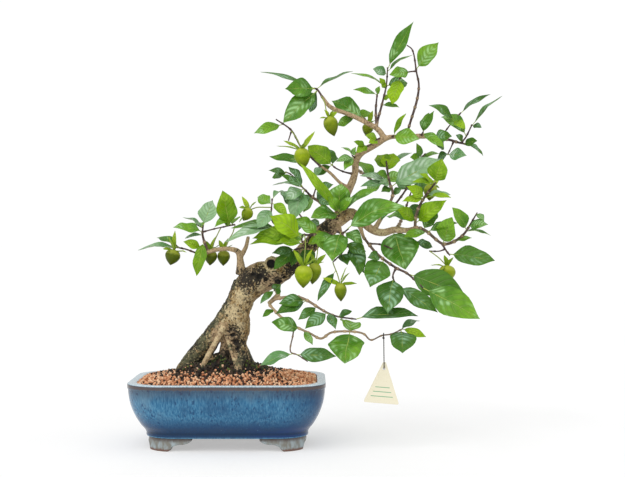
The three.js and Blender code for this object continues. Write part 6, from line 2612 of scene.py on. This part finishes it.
FRUITS = [
    Fruit("fruit_left_1", (-74, 261, -27), (-79.5, 240, -30), 20,
        [(-73, 287, -27), (-90, 262, -40), (-57, 257, -36), (-84, 280, -36)],
        [(-71, 264.5, -25), (-68, 264, -22)], 0.9),
    Fruit("fruit_left_2", (-24, 260, 0), (-26, 239.5, 0), 17,
        [(-32, 273, 4), (-18, 279, 2), (-12, 268, 8), (-30, 264, 12)],
        [(-20, 272, -4), (-16, 281, -12), (-11, 291, -18.6)], 0.9),
    Fruit("fruit_left_3", (-7, 260, 2), (-8, 239, 2), 17,
        [(-14, 274, 6), (-1, 277, 8), (5, 268, 10), (-9, 268, 14)],
        [(0, 275, -4), (5, 284, -13), (8, 294.5, -21)], 0.85),
    Fruit("fruit_left_4", (28, 316, -36), (19, 300, -44), 15,
        [(17, 333, -36), (13, 318, -48), (37, 326, -44), (13, 297, -54)],
        [(38, 318, -37), (50, 318, -37), (57, 318, -36.4)], 0.5),
    Fruit("fruit_top_1", (134, 441, -20), (142, 414, -22), 19,
        [(146, 447, -28), (128, 450, -28), (122, 438, -30), (142, 449, -12)],
        [(131, 449, -15), (129, 459, -11), (124.5, 468.5, -6)], 0.6),
    Fruit("fruit_top_2", (97, 398, -8), (101, 370, -14), 21,
        [(116, 421, -18), (73, 408, -20), (63, 401, -2), (104, 408, -28)],
        [(93, 408, -1), (88, 416, 6), (84, 421, 9)], 0.25),
    Fruit("fruit_top_3", (189, 431, 15), (184, 415, 18), 15,
        [(194, 449, 14), (178, 438, 24), (200, 436, 26), (190, 444, 28)],
        [(190, 434, 9), (188, 432, 3)], 0.6),
    Fruit("fruit_front_1", (101, 240, -58), (100, 209, -60), 23,
        [(86, 262, -56), (113, 262, -66), (92, 258, -74), (120, 250, -62)],
        [(102, 254, -52), (103, 268, -44), (102, 280.5, -28.5)], 0.1),
    Fruit("fruit_front_2", (117, 243, -40), (112, 214, -42), 18,
        [(131, 255, -48), (108, 258, -34), (128, 244, -30), (110, 250, -28)],
        [(119, 256, -36), (120, 268, -31), (120, 280, -26.5)], 0.6),
    Fruit("fruit_front_3", (150, 216, -46), (151, 191, -48), 16,
        [(126, 223, -50), (173, 215, -54), (159, 238, -52), (163, 230, -38)],
        [(146, 228, -42), (142, 238, -38), (140, 244, -34.4)], 0.6),
    Fruit("fruit_right_1", (295, 240, -38), (293, 216, -40), 22,
        [(290, 254, -40), (303, 251, -46), (271, 240, -42), (286, 232, -56)],
        [(284, 249, -36), (275, 256, -33.5), (271, 258.7, -32.4)], 0.4),
    Fruit("fruit_right_2", (273, 349, -30), (270, 327, -28), 18,
        [(284, 356, -28), (262, 352, -22), (270, 358, -20), (284, 344, -18)],
        [(275, 354, -35), (277, 350, -42.5)], 0.5),
]


def make_finishes(effects: Effects) -> dict:
    """Builds every material.

    Args:
        effects: the shared shader groups.

    Returns:
        The materials, by tone or by name.
    """
    finishes = {
        BRIGHT: LeafFinish("leaf_bright", 0x5C8A02, 0x90B804, 0x9DBA5A, 0xBCD658, 0x4C7604, 0xB4D84A, 0.4),
        MID: LeafFinish("leaf_mid", 0x437814, 0x76A826, 0x8FAF6A, 0xA8C860, 0x24500A, 0xA8D490, 0.75),
        DARK: LeafFinish("leaf_dark", 0x305E10, 0x4C7C1E, 0x7E9E70, 0x94B464, 0x183A08, 0x98C29A, 0.7),
        PALE: LeafFinish("leaf_pale", 0x5E9050, 0x98BC8C, 0xA8C0A2, 0xBCD4AC, 0x3C6A38, 0xC8DCC6, 0.7),
        "calyx": LeafFinish("calyx", 0x7A9C12, 0xA8C424, 0x93AE40, 0xAEC856, 0x56700A, 0xC0D868, 0.3, 0.5),
        "bark": BarkFinish(),
        "twig": TwigFinish(),
        "glaze": GlazeFinish(),
        "clay": GrainFinish("clay_grain", 0xAE6C46, 0xE6A87C, 0xF4CCA6),
        "crumb": GrainFinish("dark_crumb", 0x15120F, 0x2C241D, 0x4A3B2D),
        "moss": GrainFinish("moss_tuft", 0x1E2412, 0x39451E, 0x5C6B2E),
        # packed soil, its dark colour painted shade in the gaps between the grains
        "packed": GrainFinish("packed_soil", 0x2C1C15, 0x4A2F24, 0x664434),
        "fruit": FruitFinish(),
        "card": CardFinish(),
        "string": PlainFinish("string", 0x3A2C26, 0x1F1714, 1500.0, 0.85),
        "screen": PlainFinish("screen_plastic", 0x2E2F30, 0x1E1F20, 300.0, 0.5),
    }
    return {key: finish.material(effects) for key, finish in finishes.items()}


def main() -> None:
    """Builds the scene, the camera and the cord first."""
    logging.basicConfig(level=logging.INFO, format="%(name)s %(message)s")
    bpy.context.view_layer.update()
    effects = Effects()
    shapes = Shapes()
    finishes = make_finishes(effects)
    studio = Studio()
    studio.build_camera()
    TagOnCord().build(finishes["card"], finishes["string"])
    pot = Pot()
    pot.build_body(finishes["glaze"])
    pot.build_screens(shapes, finishes["screen"])
    Soil().build(shapes, finishes)
    TreeWood().build(finishes["bark"])
    count = 0
    for item in (*STEMS, *FRUITS):
        count = item.build(shapes, finishes, count)
    studio.build_light()
    studio.build_floor(effects)


if __name__ == "__main__":
    main()
